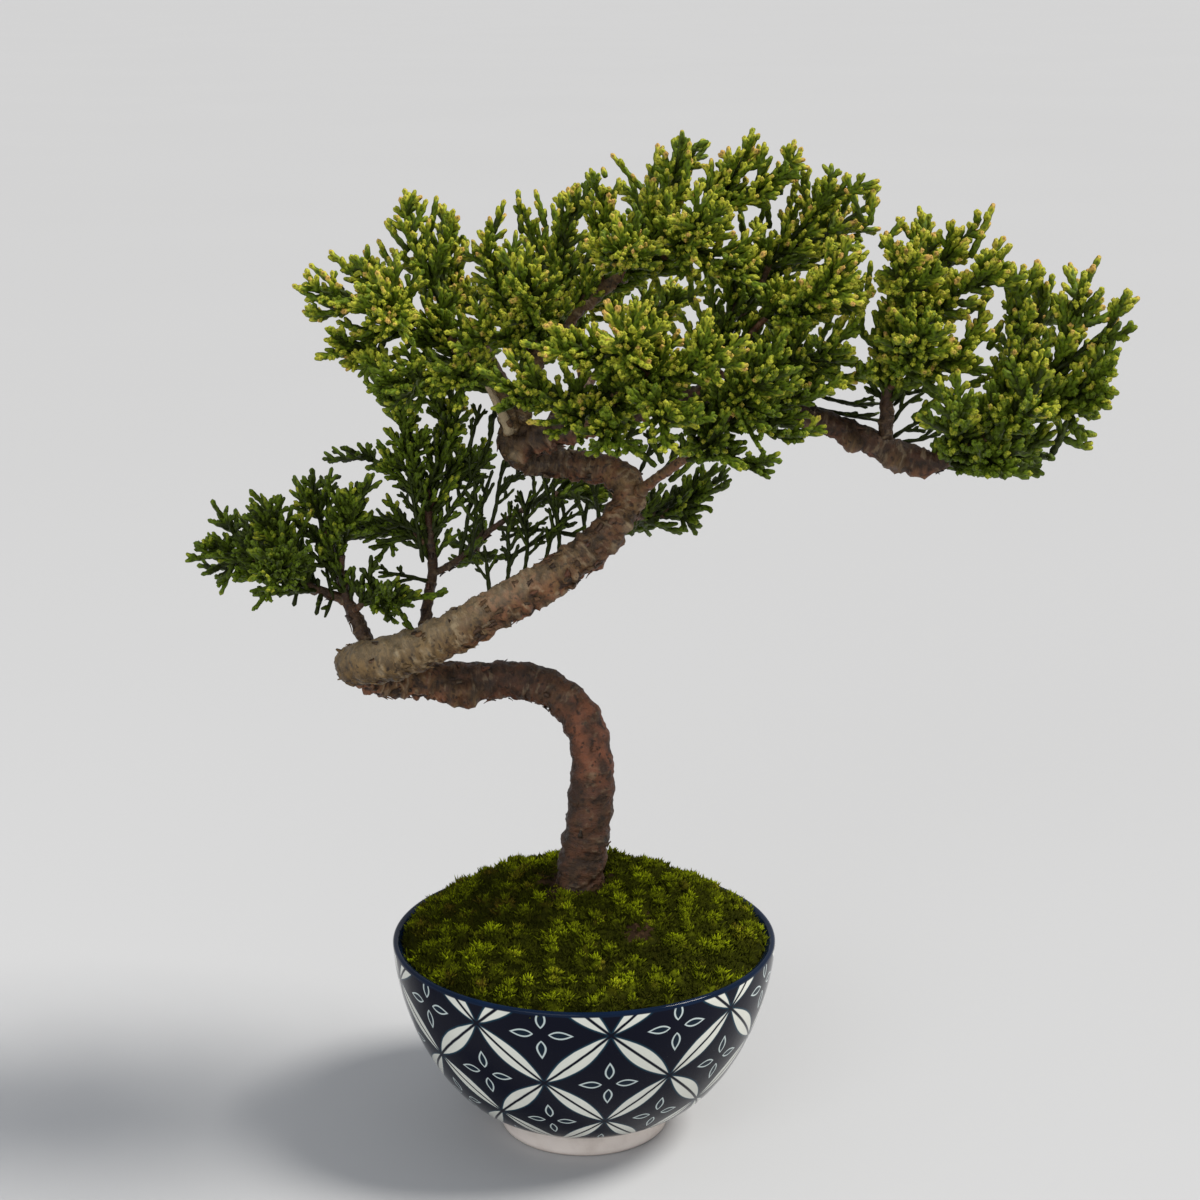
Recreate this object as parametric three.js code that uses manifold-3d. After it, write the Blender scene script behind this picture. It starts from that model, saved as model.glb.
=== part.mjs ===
// An itoigawa juniper bonsai growing in a small round ceramic bowl.
// Millimetres, +Z up, the front of the tree faces -Y. Everything is laid out round the
// bowl's own axis with the foot on z = 0, and the whole is moved at the end so that the
// middle of its bounding box is over the origin.

import * as THREE from 'three';
import { mergeVertices } from 'three/addons/utils/BufferGeometryUtils.js';
import Module from 'manifold-3d';

const wasm = await Module();
wasm.setup();

// Driving dimensions of the bowl
const RIM_RADIUS = 60;
const BOWL_HEIGHT = 63;
const WALL = 3.4;
const FOOT_RADIUS = 26.5;
const FOOT_WIDTH = 3.4;
const FOOT_HEIGHT = 7;
const RECESS_DEPTH = 4.5;
const FLOOR_TOP = 11.5;
const DRAIN_RADIUS = 5;
const ROUND_SIDES = 30;

// Driving dimensions of the filling
const SEAT_GAP = 0.3;
const SOIL_EDGE_HEIGHT = 58;
const SOIL_TOP_HEIGHT = 80;
const MOSS_THICKNESS = 2.6;
const NET_RADIUS = 9;
const NET_THICKNESS = 0.8;
const NET_HOLE_RADIUS = 2;
const NET_HOLES = 4;
const NET_SIDES = 12;

// Driving dimensions of the tree. The crown leans out to +X, so that the middle of the
// whole lies that far from the bowl's axis.
const CROWN_OFFSET = 21.5;
const RING_SPACING = 7;
const LIMB_SPACING = 11;
const STALK_RADIUS = 1.1;
const STALK_SHOWS = 3;
const STALK_SAG = 0.06;
const STEM_RADIUS = 0.95;
const STEM_THIN_END = 0.85;
const STEM_SAG = 0.1;
const STEM_STEPS = 6;
const STEM_FORK = 3.5;
const STEM_TWIST = 0.7;
const LONGEST_SPRAY = 38;
const SPRAY_SHARE = 0.84;
const TIP_GROWTH = 5;
const CLEARANCE = 0.45;

// Driving dimensions of a shoot. It grows shorter by TAPER towards its stem's end, and
// leans out by LEAN with up to LEAN_SPREAD more.
const SHOOT_RADIUS = 1.4;
const LONGEST_SHOOT = 15.5;
const TAPER = 8;
const LEAN = 0.68;
const LEAN_SPREAD = 0.25;
const SHOULDER = 0.76;
const TIP_LIFT = 0.07;
const TIP_TURN = 0.06;
const SHOOTS_PER_STEM = 10;
const PLACE_STRIDE = 5;
const SWINGS = [0, 0.3, -0.3, 0.6, -0.6];
const LENGTH_SHARES = [1, 0.75, 0.55];

// The trunk is three bent lengths that run into each other at the blunt left end and at
// the elbow. Each point is [x, y, z, radius].
const TRUNK = [
  {
    points: [
      [-3, 1, 48, 5], [-2.5, 0, 58, 7.6], [-2, 0, 73, 8.2], [-1.3, 0, 81.5, 7.6], [0, 0, 91.5, 7.2],
      [2.2, 0, 108, 6.9], [2.6, 1, 121, 6.3], [0.2, 4, 131, 6.1], [-6.2, 8, 138.6, 6],
      [-14.2, 11, 142.2, 5.9], [-24.5, 12, 143.4, 5.9], [-37, 11, 142.8, 6.7], [-49, 9, 144.4, 6.2],
      [-61, 6, 146, 6.6], [-69, 1, 150, 5],
    ],
  },
  {
    points: [
      [-72, -1.5, 153, 5], [-68.5, -4.5, 153.6, 7], [-62, -8.5, 155.6, 7.2], [-55, -10.5, 157.8, 6.9],
      [-40, -13, 165, 6.5], [-25, -12, 173.3, 6.2], [-10, -9, 181.4, 5.9], [2, -5, 189, 5.5],
      [10, -1, 197, 5.3], [14, 2, 204.5, 4.6],
    ],
  },
  {
    points: [
      [14.5, 0.5, 201, 4.2], [13.4, 2.5, 207, 5.4], [8.5, 6, 210.8, 5], [1.5, 9, 211.4, 4.6],
      [-7, 12, 212, 4.6], [-15, 12, 213, 5], [-20.5, 10.5, 218, 5.6], [-21, 9.5, 223, 4.2],
    ],
  },
];

// Limbs and the sprays that grow from them. A spray starts at the limb's point number
// "at" (with a part) and reaches its tips; two tips share one stalk.
const LIMBS = [
  {
    name: 'right_limb',
    points: [
      [-20, 9, 219, 5], [-11, 4, 222, 5], [-1, 0, 226, 4.6], [17, -2, 232, 4.2], [38, 2, 234, 3.9],
      [57, 6, 232, 3.8], [71, 8, 226, 3.8], [83, 9, 221, 3.9], [95, 8, 216, 4.2], [106, 5, 214, 3.2],
      [114, 2, 218, 2], [124, 0, 224, 1.5], [135, -2, 232, 1.2],
    ],
    sprays: [
      { at: 4.8, tips: [[62, 34, 218]] },
      { at: 9.4, tips: [[121, -24, 218], [107, -28, 236]] },
      { at: 9.6, tips: [[146, 8, 215]] },
      { at: 10.3, tips: [[129, -32, 241]] },
      { at: 11, tips: [[129, -4, 275], [140, 18, 262]] },
      { at: 12, tips: [[154, -2, 226], [154, -10, 243]] },
      { at: 11.6, tips: [[151, 2, 277], [162, -6, 265]] },
    ],
  },
  {
    name: 'right_riser',
    points: [[91, 8, 220, 2.4], [91, 8, 231, 2.2], [91, 6, 242, 2], [93, 4, 252, 1.6], [98, 2, 262, 1.2]],
    sprays: [
      { at: 1.6, tips: [[95, -30, 257], [112, -14, 250]] },
      { at: 2.6, tips: [[120, -12, 276], [90, -28, 279]] },
      { at: 3.2, tips: [[104, 32, 272]] },
      { at: 4, tips: [[102, 6, 285], [119, 0, 291]] },
    ],
  },
  {
    name: 'middle_riser',
    points: [[38, 2, 234, 2.4], [39, 4, 245, 2], [43, 4, 257, 1.7], [48, 2, 267, 1.3]],
    sprays: [
      { at: 0.8, tips: [[73, -26, 253], [86, -16, 243]] },
      { at: 1.6, tips: [[72, -40, 276], [85, -22, 268]] },
      { at: 2.2, tips: [[78, 22, 285]] },
      { at: 3, tips: [[76, 2, 301], [90, 8, 294]] },
    ],
  },
  {
    name: 'top_limb',
    points: [
      [-22, 10, 220, 4.4], [-19, 12, 229, 3.8], [-15, 12, 242, 3.2], [-7, 10, 254, 2.7],
      [5, 8, 265, 2.3], [17, 5, 274, 1.9], [28, 2, 281, 1.4],
    ],
    sprays: [
      { at: 2, tips: [[-31, 6, 281]] },
      { at: 2.5, tips: [[-15, -30, 270], [-30, -26, 257]] },
      { at: 3, tips: [[-20, 16, 294], [-2, 20, 291]] },
      { at: 4, tips: [[7, 0, 306]] },
      { at: 4.6, tips: [[12, -40, 283]] },
      { at: 5, tips: [[32, 6, 310], [22, 34, 292]] },
      { at: 5.5, tips: [[33, -36, 289], [46, -22, 275]] },
      { at: 6, tips: [[51, 0, 310], [65, -4, 307]] },
    ],
  },
  {
    name: 'upper_left_limb',
    points: [
      [-21, 8, 222, 3], [-26, 5, 235, 2.4], [-36, 0, 248, 2], [-46, -4, 257, 1.7], [-57, -8, 263, 1.4],
    ],
    sprays: [
      { at: 1.6, tips: [[-57, -22, 242], [-34, -28, 246]] },
      { at: 2.4, tips: [[-41, 14, 292], [-54, 2, 295]] },
      { at: 3, tips: [[-72, -16, 248]] },
      { at: 3.4, tips: [[-69, 2, 276], [-54, -38, 266]] },
      { at: 4, tips: [[-84, -14, 270], [-83, -10, 257]] },
    ],
  },
  {
    name: 'dead_stub',
    points: [[-22, 6, 223, 1.8], [-25, 1, 231, 1.4], [-28, -3, 238, 0.8]],
    sprays: [],
  },
  {
    name: 'front_limb',
    points: [[-1, 0, 226, 2.6], [5, -14, 233, 2.2], [12, -26, 241, 1.8], [19, -36, 249, 1.4]],
    sprays: [
      { at: 1, tips: [[-17, -44, 244]] },
      { at: 1.7, tips: [[-5, -50, 236], [8, -56, 233]] },
      { at: 2.4, tips: [[23, -62, 237], [37, -62, 257]] },
      { at: 3, tips: [[11, -68, 263], [-6, -56, 259]] },
    ],
  },
  {
    name: 'elbow_limb',
    points: [[15, 0, 204, 2], [21, -8, 211, 1.7], [28, -16, 218, 1.5], [35, -22, 226, 1.3], [41, -26, 234, 1.1]],
    sprays: [
      { at: 2.8, tips: [[35, -48, 230], [50, -36, 220]] },
      { at: 3.6, tips: [[62, -30, 226], [69, -28, 243]] },
      { at: 4, tips: [[51, -54, 252], [45, -46, 240]] },
    ],
  },
  {
    name: 'lower_left_limb',
    points: [[-65, -4, 159, 2.6], [-69, -2, 167, 2.3], [-72, 0, 173, 2.1], [-74, 2, 181, 1.6], [-77, 2, 189, 1.2]],
    sprays: [
      { at: 1.6, tips: [[-53, -16, 177]] },
      { at: 3, tips: [[-68, -8, 204]] },
      { at: 4, tips: [[-84, 10, 205]] },
    ],
  },
  {
    name: 'lower_left_fork',
    points: [[-72, 0, 172, 1.8], [-80, -2, 176, 1.4], [-87, -4, 180, 1.2], [-94, -6, 185, 1]],
    sprays: [
      { at: 1, tips: [[-104, 24, 188]] },
      { at: 1.8, tips: [[-96, -4, 207]] },
      { at: 2.4, tips: [[-88, -30, 190]] },
      { at: 3, tips: [[-117, -10, 193], [-117, -2, 180], [-112, 6, 201]] },
    ],
  },
  {
    name: 'middle_left_limb',
    points: [
      [-48, -10, 162, 2], [-47, -2, 173, 1.8], [-46, 6, 180, 1.6], [-47, 10, 192, 1.4], [-48, 14, 203, 1.1],
    ],
    sprays: [
      { at: 2.8, tips: [[-74, 12, 191]] },
      { at: 3.4, tips: [[-36, 26, 211], [-40, 26, 231]] },
      { at: 4, tips: [[-73, 16, 215], [-57, 12, 235]] },
    ],
  },
  {
    name: 'middle_left_fork',
    points: [[-46, 5, 179, 1.2], [-39, 10, 182, 1.1], [-29, 16, 190, 1], [-20, 20, 195, 0.9], [-12, 24, 198, 0.8]],
    sprays: [
      { at: 1.6, tips: [[-33, 26, 175]] },
      { at: 4, tips: [[-4, 36, 207], [6, 32, 197]] },
    ],
  },
  {
    name: 'back_right_limb',
    points: [[13, 3, 200, 1.8], [17, 14, 195, 1.5], [22, 22, 194, 1.2]],
    sprays: [
      { at: 1.4, tips: [[19, 36, 184]] },
      { at: 2, tips: [[42, 26, 204], [36, 22, 189]] },
    ],
  },
  {
    name: 'back_limb',
    points: [[-11, 4, 222, 2.4], [-7, 22, 227, 2], [2, 38, 233, 1.6], [11, 50, 241, 1.2]],
    sprays: [
      { at: 1.8, tips: [[-8, 50, 272]] },
      { at: 3, tips: [[4, 62, 260], [32, 60, 257]] },
    ],
  },
  {
    name: 'back_left_limb',
    points: [[-19, 12, 229, 2], [-26, 26, 237, 1.7], [-32, 38, 246, 1.3]],
    sprays: [
      { at: 2, tips: [[-44, 46, 264], [-20, 50, 270]] },
    ],
  },
  {
    name: 'back_riser',
    points: [[57, 6, 232, 2.2], [58, 22, 239, 1.8], [62, 36, 246, 1.3]],
    sprays: [
      { at: 2, tips: [[54, 56, 263], [80, 50, 258]] },
    ],
  },
];

// Materials
const GLAZE = new THREE.MeshStandardMaterial({ color: 0x14203c, roughness: 0.15, metalness: 0 });
const NET_PLASTIC = new THREE.MeshStandardMaterial({ color: 0x20241f, roughness: 0.6, metalness: 0 });
const EARTH = new THREE.MeshStandardMaterial({ color: 0x3f2f20, roughness: 1, metalness: 0 });
const MOSS_GREEN = new THREE.MeshStandardMaterial({ color: 0x4b5f1a, roughness: 1, metalness: 0 });
const BARK = new THREE.MeshStandardMaterial({ color: 0x7a5540, roughness: 0.9, metalness: 0 });
const NEEDLE_GREEN = new THREE.MeshStandardMaterial({ color: 0x4f6b23, roughness: 0.75, metalness: 0 });

// The same draw of numbers on every run.
function makeRandom(seed) {
  let state = seed;
  return () => {
    state = (Math.imul(state, 1664525) + 1013904223) >>> 0;
    return state / 4294967296;
  };
}

function vector([x, y, z]) {
  return new THREE.Vector3(x, y, z);
}

// A manifold solid from flat lists of positions and triangle corners.
function solidFrom(positions, corners) {
  return new wasm.Manifold(new wasm.Mesh({
    numProp: 3,
    vertProperties: new Float32Array(positions),
    triVerts: new Uint32Array(corners),
  }));
}

function solidFromGeometry(geometry) {
  const bare = geometry.clone();
  bare.deleteAttribute('normal');
  bare.deleteAttribute('uv');
  const merged = mergeVertices(bare, 1e-4);
  return solidFrom(merged.attributes.position.array, merged.index.array);
}

function geometryFrom(solid) {
  const { vertProperties, triVerts } = solid.getMesh();
  const geometry = new THREE.BufferGeometry();
  geometry.setAttribute('position', new THREE.BufferAttribute(vertProperties, 3));
  geometry.setIndex(new THREE.BufferAttribute(triVerts, 1));
  geometry.computeVertexNormals();
  return geometry;
}

function meshOf(name, solid, material) {
  const mesh = new THREE.Mesh(geometryFrom(solid), material);
  mesh.name = name;
  return mesh;
}

// Rings { centre, radius } along a smooth curve through points [x, y, z, radius].
function ringsAlong(points, spacing) {
  const curve = new THREE.CatmullRomCurve3(points.map(vector), false, 'centripetal');
  const count = Math.max(2, Math.round(curve.getLength() / spacing));
  const rings = [];
  for (let i = 0; i <= count; i += 1) {
    rings.push(pointOn(curve, points, (i / count) * (points.length - 1)));
  }
  return rings;
}

// The place and radius at point number "at" of a curve through points.
function pointOn(curve, points, at) {
  const last = points.length - 1;
  const low = Math.min(Math.floor(at), last - 1);
  const radius = THREE.MathUtils.lerp(points[low][3], points[low + 1][3], at - low);
  return { centre: curve.getPoint(at / last), radius };
}

// Any unit vector square to direction.
function squareTo(direction) {
  const helper = Math.abs(direction.z) < 0.8 ? new THREE.Vector3(0, 0, 1) : new THREE.Vector3(1, 0, 0);
  return helper.cross(direction).normalize();
}

// The corners of each ring, as seen along the path. twist turns each ring on from the
// one before it, and swell(distance, angle) scales its radius.
function ringCorners(rings, sides, { twist = 0, swell = () => 1 } = {}) {
  let side = null;
  let distance = 0;
  return rings.map(({ centre, radius }, i) => {
    const direction = directionAt(rings, i);
    side = side ?? squareTo(direction);
    side = side.clone().addScaledVector(direction, -side.dot(direction)).normalize();
    const up = direction.clone().cross(side);
    if (i > 0) {
      distance += centre.distanceTo(rings[i - 1].centre);
    }
    const corners = [];
    for (let k = 0; k < sides; k += 1) {
      const angle = (2 * Math.PI * k) / sides + twist * i;
      const reach = radius * swell(distance, angle);
      corners.push(centre.clone()
        .addScaledVector(side, reach * Math.cos(angle))
        .addScaledVector(up, reach * Math.sin(angle)));
    }
    return corners;
  });
}

function directionAt(rings, i) {
  const before = rings[Math.max(i - 1, 0)].centre;
  const after = rings[Math.min(i + 1, rings.length - 1)].centre;
  return after.clone().sub(before).normalize();
}

// The triangles of a closed tube through rings, as a list of three corners each. An end
// with a nose closes in a point that far past its ring, and an end without one is flat.
function tubeFaces(loops, rings, { startNose = 0, endNose = 0 } = {}) {
  const sides = loops[0].length;
  const last = rings.length - 1;
  const faces = [];
  for (let i = 0; i < last; i += 1) {
    for (let k = 0; k < sides; k += 1) {
      const next = (k + 1) % sides;
      faces.push([loops[i][k], loops[i][next], loops[i + 1][next]]);
      faces.push([loops[i][k], loops[i + 1][next], loops[i + 1][k]]);
    }
  }
  const start = rings[0].centre.clone().addScaledVector(directionAt(rings, 0), -startNose);
  const end = rings[last].centre.clone().addScaledVector(directionAt(rings, last), endNose);
  faces.push(...endFaces([...loops[0]].reverse(), startNose, start));
  faces.push(...endFaces(loops[last], endNose, end));
  return faces;
}

function endFaces(loop, nose, apex) {
  const faces = [];
  if (nose === 0) {
    for (let k = 1; k < loop.length - 1; k += 1) {
      faces.push([loop[0], loop[k], loop[k + 1]]);
    }
    return faces;
  }
  loop.forEach((corner, k) => {
    faces.push([apex, corner, loop[(k + 1) % loop.length]]);
  });
  return faces;
}

// A solid from triangles whose corners are shared vectors.
function solidFromFaces(faces) {
  const numbers = new Map();
  const positions = [];
  const corners = [];
  for (const corner of faces.flat()) {
    if (!numbers.has(corner)) {
      numbers.set(corner, numbers.size);
      positions.push(corner.x, corner.y, corner.z);
    }
    corners.push(numbers.get(corner));
  }
  return solidFrom(positions, corners);
}

function tube(rings, sides, form) {
  return solidFromFaces(tubeFaces(ringCorners(rings, sides, form), rings, form));
}

// Capsules of radius r round the straight stretches of a line of rings.
function capsulesOf(rings, owner, scale = 1) {
  const capsules = [];
  for (let i = 1; i < rings.length; i += 1) {
    const r = Math.max(rings[i - 1].radius, rings[i].radius) * scale;
    capsules.push({ a: rings[i - 1].centre, b: rings[i].centre, r, owner });
  }
  return capsules;
}

// The shortest way between two straight stretches, less both radii.
function spaceBetween(one, other) {
  const d1 = one.b.clone().sub(one.a);
  const d2 = other.b.clone().sub(other.a);
  const r = one.a.clone().sub(other.a);
  const a = d1.dot(d1);
  const e = d2.dot(d2);
  const b = d1.dot(d2);
  const c = d1.dot(r);
  const f = d2.dot(r);
  const clamp = (value) => THREE.MathUtils.clamp(value, 0, 1);
  const spread = a * e - b * b;
  let s = spread > 1e-9 ? clamp((b * f - c * e) / spread) : 0;
  let t = (b * s + f) / e;
  if (t < 0) {
    t = 0;
    s = clamp(-c / a);
  } else if (t > 1) {
    t = 1;
    s = clamp((b - c) / a);
  }
  const p = one.a.clone().addScaledVector(d1, s);
  const q = other.a.clone().addScaledVector(d2, t);
  return p.distanceTo(q) - one.r - other.r;
}

function isClear(capsules, others) {
  return capsules.every((one) => others.every((other) => (
    one.owner === other.owner || spaceBetween(one, other) >= CLEARANCE
  )));
}

// Points on the arc from start to end that sags below the straight line, as rings.
function arcRings(start, middle, end, steps, startRadius, endRadius) {
  const curve = new THREE.QuadraticBezierCurve3(start, middle, end);
  const rings = [];
  for (let i = 0; i <= steps; i += 1) {
    const t = i / steps;
    rings.push({ centre: curve.getPoint(t), radius: THREE.MathUtils.lerp(startRadius, endRadius, t) });
  }
  return rings;
}

// The wood: bent trunk lengths with ridges across the bark, and limbs.
function barkSwell(distance, angle) {
  const ridges = Math.sin(distance * 0.82 + 1.3 * Math.sin(angle + distance * 0.05));
  const lumps = Math.sin(2 * angle + distance * 0.17) * Math.sin(distance * 0.11 + 1);
  return 1 + 0.045 * ridges + 0.06 * lumps;
}

function makeTrunk(extra = 0) {
  const lengths = TRUNK.map(({ points }) => {
    const rings = ringsAlong(points, RING_SPACING);
    rings.forEach((ring) => {
      ring.radius += extra;
    });
    const nose = 0.45 * points[0][3];
    return tube(rings, 10, { startNose: nose, endNose: nose, swell: barkSwell });
  });
  return lengths.reduce((joined, length) => joined.add(length));
}

function limbSides(points) {
  return points[0][3] > 3.5 ? 7 : 5;
}

function makeLimb({ points }) {
  const rings = ringsAlong(points, LIMB_SPACING);
  const swell = points[0][3] > 3.5 ? barkSwell : undefined;
  return tube(rings, limbSides(points), { endNose: 1, swell });
}

// Where a limb's spray leaves it, its stalk's end, and the way on from there.
function planSpray(limb, spray, name) {
  const curve = new THREE.CatmullRomCurve3(limb.points.map(vector), false, 'centripetal');
  const { centre: root, radius } = pointOn(curve, limb.points, spray.at);
  const tips = spray.tips.map(vector);
  const aim = tips.reduce((sum, tip) => sum.add(tip), new THREE.Vector3()).divideScalar(tips.length);
  const reach = aim.distanceTo(root);
  const length = Math.min(LONGEST_SPRAY, reach * SPRAY_SHARE, reach - radius - STALK_SHOWS);
  const base = root.clone().lerp(aim, 1 - length / reach);
  const middle = root.clone().lerp(base, 0.5);
  middle.z -= STALK_SAG * reach;
  const onward = base.clone().sub(middle).normalize();
  return { name, root, middle, base, onward, tips };
}

function stalkRings({ root, middle, base, onward }) {
  const end = base.clone().addScaledVector(onward, -SEAT_GAP);
  return [
    { centre: root, radius: 0.5 * STALK_RADIUS },
    { centre: middle, radius: STALK_RADIUS },
    { centre: end, radius: STEM_THIN_END * STALK_RADIUS },
  ];
}

// The slim green stems of a spray: the first runs on from the stalk, and any other
// leaves it just past its start. Each ends where its last shoots still reach the tip.
function stemRings({ base, onward, tips }) {
  const fork = base.clone().addScaledVector(onward, STEM_FORK);
  return tips.map((tip, i) => {
    const along = tip.clone().sub(fork).normalize();
    const end = tip.clone().addScaledVector(along, -TIP_GROWTH);
    const reach = end.distanceTo(fork);
    const middle = fork.clone().lerp(end, 0.5);
    middle.z -= STEM_SAG * reach;
    const rings = arcRings(fork, middle, end, STEM_STEPS, STEM_RADIUS, STEM_THIN_END * STEM_RADIUS);
    if (i === 0) {
      return [{ centre: base, radius: STEM_RADIUS }, ...rings];
    }
    rings[0].radius = 0.4 * STEM_RADIUS;
    return rings;
  });
}

function withStems(plan) {
  const stems = stemRings(plan).map((rings, i) => ({
    owner: `${plan.name} ${i}`,
    rings,
    loops: ringCorners(rings, 3, { twist: STEM_TWIST }),
    shoots: [],
  }));
  return { name: plan.name, stems };
}

// A shoot is a three-sided finger that rises from half of one side of its stem: face is
// that triangle. It leans from the stem by lean, swings round it by swing, is widest at
// its shoulder, and turns up a little at its tip.
function shootFrom(face, direction, lean, swing, length) {
  const [a, b, c] = face;
  const root = a.clone().add(b).add(c).divideScalar(3);
  const outward = b.clone().sub(a).cross(c.clone().sub(a));
  outward.addScaledVector(direction, -outward.dot(direction)).normalize();
  outward.applyAxisAngle(direction, swing);
  const out = direction.clone().multiplyScalar(Math.cos(lean)).addScaledVector(outward, Math.sin(lean));
  const shoulder = root.clone().addScaledVector(out, SHOULDER * length);
  const tip = root.clone().addScaledVector(out, length).addScaledVector(direction, TIP_TURN * length);
  tip.z += TIP_LIFT * length;
  return { face, root, out, shoulder, tip };
}

// The part of a shoot that has to stay clear of others: it starts past the root.
function shootCapsules({ root, shoulder, tip }, owner) {
  const start = root.clone().lerp(shoulder, 0.4);
  return [
    { a: start, b: shoulder, r: SHOOT_RADIUS, owner },
    { a: shoulder, b: tip, r: SHOOT_RADIUS, owner },
  ];
}

// The triangles that take the place of the shoot's face.
function shootFaces({ face, root, out, shoulder, tip }) {
  const side = squareTo(out);
  const up = out.clone().cross(side);
  let east = 0;
  let north = 0;
  face.forEach((corner, j) => {
    const arm = corner.clone().sub(root);
    const angle = Math.atan2(arm.dot(up), arm.dot(side)) - (2 * Math.PI * j) / 3;
    east += Math.cos(angle);
    north += Math.sin(angle);
  });
  const phase = Math.atan2(north, east);
  const ring = face.map((corner, j) => {
    const angle = phase + (2 * Math.PI * j) / 3;
    return shoulder.clone()
      .addScaledVector(side, SHOOT_RADIUS * Math.cos(angle))
      .addScaledVector(up, SHOOT_RADIUS * Math.sin(angle));
  });
  return face.flatMap((corner, j) => {
    const next = (j + 1) % 3;
    return [
      [corner, face[next], ring[next]],
      [corner, ring[next], ring[j]],
      [ring[j], ring[next], tip],
    ];
  });
}

// The places for shoots on a stem, from its root out: each is half of one side.
function shootPlaces(stem) {
  const places = [];
  for (let i = 0; i < stem.rings.length - 1; i += 1) {
    for (let k = 0; k < 3; k += 1) {
      const next = (k + 1) % 3;
      const low = [stem.loops[i][k], stem.loops[i][next], stem.loops[i + 1][next]];
      const high = [stem.loops[i][k], stem.loops[i + 1][next], stem.loops[i + 1][k]];
      places.push({ face: (i + k) % 2 ? low : high, part: i * 6 + k * 2 + ((i + k) % 2 ? 0 : 1), i });
    }
  }
  return places;
}

// Grows the shoots of all sprays in turn, so that crowded sprays share the room.
function growShoots(sprays, fixed) {
  const random = makeRandom(20260);
  const stems = sprays.flatMap((spray) => spray.stems);
  const taken = [...fixed, ...stems.flatMap(({ rings, owner }) => capsulesOf(rings, owner))];
  for (let turn = 0; turn < 3 * (STEM_STEPS + 1); turn += 1) {
    for (const stem of stems) {
      const places = shootPlaces(stem);
      const place = places[(turn * PLACE_STRIDE + 2) % places.length];
      const t = (place.i + 0.5) / stem.rings.length;
      const lean = LEAN + LEAN_SPREAD * random();
      const length = (LONGEST_SHOOT - TAPER * t) * (0.85 + 0.3 * random());
      if (stem.shoots.length >= SHOOTS_PER_STEM || place.i === 0) {
        continue;
      }
      const direction = directionAt(stem.rings, place.i);
      const tries = LENGTH_SHARES.flatMap((share) => SWINGS.map((swing) => (
        shootFrom(place.face, direction, lean, swing, length * share)
      )));
      const found = tries.find((shoot) => {
        const own = stem.shoots.flatMap((other) => shootCapsules(other.shoot, 'own'));
        const capsules = shootCapsules(shoot, stem.owner);
        return isClear(capsules, taken) && isClear(capsules, own);
      });
      if (found) {
        stem.shoots.push({ shoot: found, part: place.part });
        taken.push(...shootCapsules(found, stem.owner));
      }
    }
  }
}

// A stem with its shoots: each shoot's faces take the place of one of the stem's own.
function makeStem({ rings, loops, shoots }) {
  const faces = tubeFaces(loops, rings, { endNose: 1.6 });
  const grown = new Map(shoots.map(({ shoot, part }) => [part, shoot]));
  return solidFromFaces(faces.flatMap((face, part) => (
    grown.has(part) ? shootFaces({ ...grown.get(part), face }) : [face]
  )));
}

function makeSpray({ stems }) {
  const joined = stems.map(makeStem).reduce((sum, stem) => sum.add(stem));
  const bodies = joined.decompose();
  return bodies.sort((one, other) => other.volume() - one.volume())[0];
}

// The bowl's wall as a quarter turn: a is 0 at the foot and a right angle at the rim.
function outerWallPoint(a) {
  const radius = 27 + (RIM_RADIUS - 27) * Math.sin(a) ** 1.15;
  const height = 8 + (BOWL_HEIGHT - 8) * (1 - Math.cos(a) ** 1.2);
  return new THREE.Vector2(radius, height);
}

function innerWallPoint(a) {
  const radius = 22 + (RIM_RADIUS - WALL - 22) * Math.sin(a) ** 1.1;
  const height = FLOOR_TOP + (BOWL_HEIGHT - 1 - FLOOR_TOP) * (1 - Math.cos(a) ** 1.2);
  return new THREE.Vector2(radius, height);
}

function quarterTurn(steps, from, to, make) {
  const points = [];
  for (let i = 0; i <= steps; i += 1) {
    points.push(make(from + ((to - from) * i) / steps));
  }
  return points;
}

const innerWall = quarterTurn(5, 0, Math.PI / 2, innerWallPoint);

function lathe(profile) {
  return solidFromGeometry(new THREE.LatheGeometry(profile, ROUND_SIDES).rotateX(Math.PI / 2));
}

function makeBowl() {
  const footInner = FOOT_RADIUS - FOOT_WIDTH;
  const outer = quarterTurn(6, 0.12, Math.PI / 2, outerWallPoint);
  const inner = [...innerWall].reverse();
  const profile = [
    new THREE.Vector2(DRAIN_RADIUS, RECESS_DEPTH),
    new THREE.Vector2(footInner - 1.5, RECESS_DEPTH),
    new THREE.Vector2(footInner, 0),
    new THREE.Vector2(FOOT_RADIUS, 0),
    new THREE.Vector2(FOOT_RADIUS + 0.6, FOOT_HEIGHT),
    ...outer,
    new THREE.Vector2(RIM_RADIUS - WALL / 2, BOWL_HEIGHT + 0.8),
    ...inner,
    new THREE.Vector2(DRAIN_RADIUS, FLOOR_TOP),
  ];
  profile.push(profile[0].clone());
  return lathe(profile);
}

// The corners of a regular outline round (x, y), the first of them turned by start.
function regularCorners(x, y, radius, sides, start) {
  const corners = [];
  for (let k = 0; k < sides; k += 1) {
    const angle = start + (2 * Math.PI * k) / sides;
    corners.push(new THREE.Vector2(x + radius * Math.cos(angle), y + radius * Math.sin(angle)));
  }
  return corners;
}

function makeDrainNet() {
  const outline = new THREE.Shape(regularCorners(0, 0, NET_RADIUS, NET_SIDES, 0));
  for (const { x, y } of regularCorners(0, 0, NET_RADIUS / 2, NET_HOLES, 0.35)) {
    outline.holes.push(new THREE.Path(regularCorners(x, y, NET_HOLE_RADIUS, 4, 0.1 * x)));
  }
  const geometry = new THREE.ExtrudeGeometry(outline, { depth: NET_THICKNESS, bevelEnabled: false });
  return solidFromGeometry(geometry.translate(0, 0, FLOOR_TOP + SEAT_GAP));
}

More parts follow.
